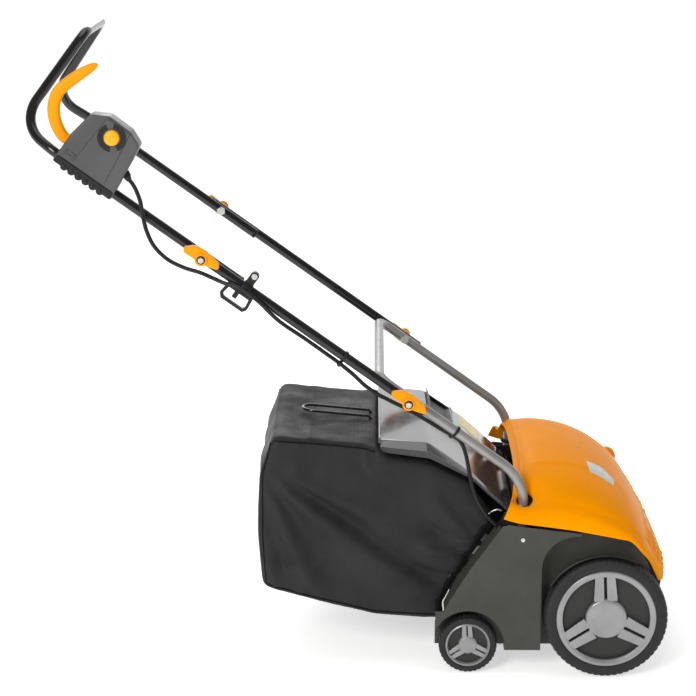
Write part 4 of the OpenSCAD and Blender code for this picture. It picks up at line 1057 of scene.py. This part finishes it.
# ---- round tubes and wires, smooth where the CAD ones are faceted ----
def tube_run(name, points, radii, r, mat, body, replaces, sides=40):
    """A round bar along points in mm, with a bend radius at each."""
    path = spread(fillet(points, radii, 14, False, 0.8), 4)
    return sweep(name, [Vector(q) for q in path / 1000], r / 1000, mat, body, sides, replaces=replaces)


def mm(v):
    """A point in metres as millimetres."""
    return tuple(c * 1000 for c in v)


half = [on_handle(345, 0, LEG_Y), on_handle(721, 0, LEG_Y), on_handle(792, 0, 192), on_handle(792, 176, 112)]
mirror = lambda p: (p[0] * 1000, -p[1] * 1000, p[2] * 1000)
tube_run("upper_handle_tube", [mirror(p) for p in half] + [mm(p) for p in reversed(half)],
         [0, 40, 60, 35, 35, 60, 40, 0], TUBE_R, "black_tube", "upper_handle", ["upper_handle"])
half = [at(LEG_X, LEG_Y, 224), at(LEG_X, LEG_Y, FOLD_Z + (FOLD_X - LEG_X) * math.tan(SLOPE)),
        on_handle(60, 0, LEG_Y)]
tube_run("lower_handle_tube", [mirror(p) for p in half] + [mm(p) for p in reversed(half)],
         [0, 85, 28, 28, 85, 0],
         TUBE_R, "silver_tube", "chassis", ["lower_handle"])
for sgn, side in ((-1, "right"), (1, "left")):
    tube_run(f"mid_tube_{side}_run", [mm(on_handle(u, 0, sgn * MID_Y)) for u in (-30, 200, 444)],
             [0, 0, 0], TUBE_R, "black_tube", "mid_handle", [f"mid_tube_{side}"])
    for u0, u1, y, body, tag in ((-33, -29.6, MID_Y, "mid_handle", "front"),
                                 (444, 447, MID_Y, "mid_handle", "rear"),
                                 (341.6, 345, LEG_Y, "upper_handle", "end")):
        cap_line = [on_handle(u, 0, sgn * y) for u in np.linspace(u0, u1, 5)]
        grow = [0.0068, 0.0082, 0.0089, 0.0089, 0.0089] if u0 != 444 else [0.0089, 0.0089, 0.0089, 0.0082,
                                                                           0.0068]
        sweep(f"tube_cap_{tag}_{side}", cap_line, grow, "black", body, 32)
FRAME = [(-290, 98), (-289, 112), (-246, 189), (-205, 256), (-242, 306), (-308, 342), (-402, 352)]
tube_run("bag_frame_wire",
         [mm(at(x, -204, z)) for x, z in FRAME] + [mm(at(x, 204, z)) for x, z in reversed(FRAME)],
         [0, 12, 25, 12, 25, 40, 14, 14, 40, 25, 12, 25, 12, 0], 3, "wire", "bag", ["bag_frame"],
         16)

# ---- edges of the carried-over CAD solids ----
for name, width in (("side_panel_right", 1.2), ("side_panel_left", 1.2), ("chassis_shell", 1.0),
                    ("front_bumper", 1.5),
                    ("cord_hook", 0.8), ("power_inlet", 0.8), ("motor_housing", 0.8), ("cable_tie_mid", 0.3),
                    ("cable_tie_lower", 0.3), ("depth_lever", 0.6), ("rotor_knives", 0.25)):
    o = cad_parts[name]
    modifier(o, "WELD", merge_threshold=0.00002)
    modifier(o, "BEVEL", width=width / 1000, segments=2, limit_method="ANGLE", angle_limit=math.radians(40),
             use_clamp_overlap=True)

# ---- studio ----
M["floor"] = Mat("studio_floor", (0.95, 0.95, 0.95), 0.8, Emission_Strength=0.55,
                 Emission_Color=(1, 1, 1, 1)).m
cove = [(-14, 0), (5.5, 0)] + [(5.5 + 2.5 * math.sin(t), 2.5 - 2.5 * math.cos(t))
                               for t in np.linspace(0.1, math.pi / 2, 12)] + [(8, 14)]
floor = piece("floor", [(x, y, z - 0.0005) for y, z in cove for x in (-16, 16)], grid_faces(len(cove), 2),
              "floor", None)
for name, spot, size, power, tint in (
        ("key", (-1.7, -3.5, 2.2), 1.6, 97, (1, 0.99, 0.97)),
                                      ("fill", (3.2, -2.4, 1.5), 1.3, 8, (0.97, 0.98, 1)),
        ("top", (0.0, 0.1, 3.6), 2.4, 26, (1, 1, 1)), ("back", (-0.6, 3.0, 2.2), 2.0, 22, (1, 1, 1))):
    data = bpy.data.lights.new(name, "AREA")
    data.shape = "DISK"
    data.size = size
    data.energy = power
    data.color = tint
    o = bpy.data.objects.new(name, data)
    bpy.context.scene.collection.objects.link(o)
    o.location = spot
    o.rotation_euler = (Vector((0, 0, 0.45)) - Vector(spot)).to_track_quat("-Z", "Y").to_euler()
world = bpy.data.worlds.new("studio")
bpy.context.scene.world = world
world.use_nodes = True
world.node_tree.nodes["Background"].inputs["Color"].default_value = (1, 1, 1, 1)
world.node_tree.nodes["Background"].inputs["Strength"].default_value = 0.22
bpy.context.scene.view_settings.view_transform = "Standard"
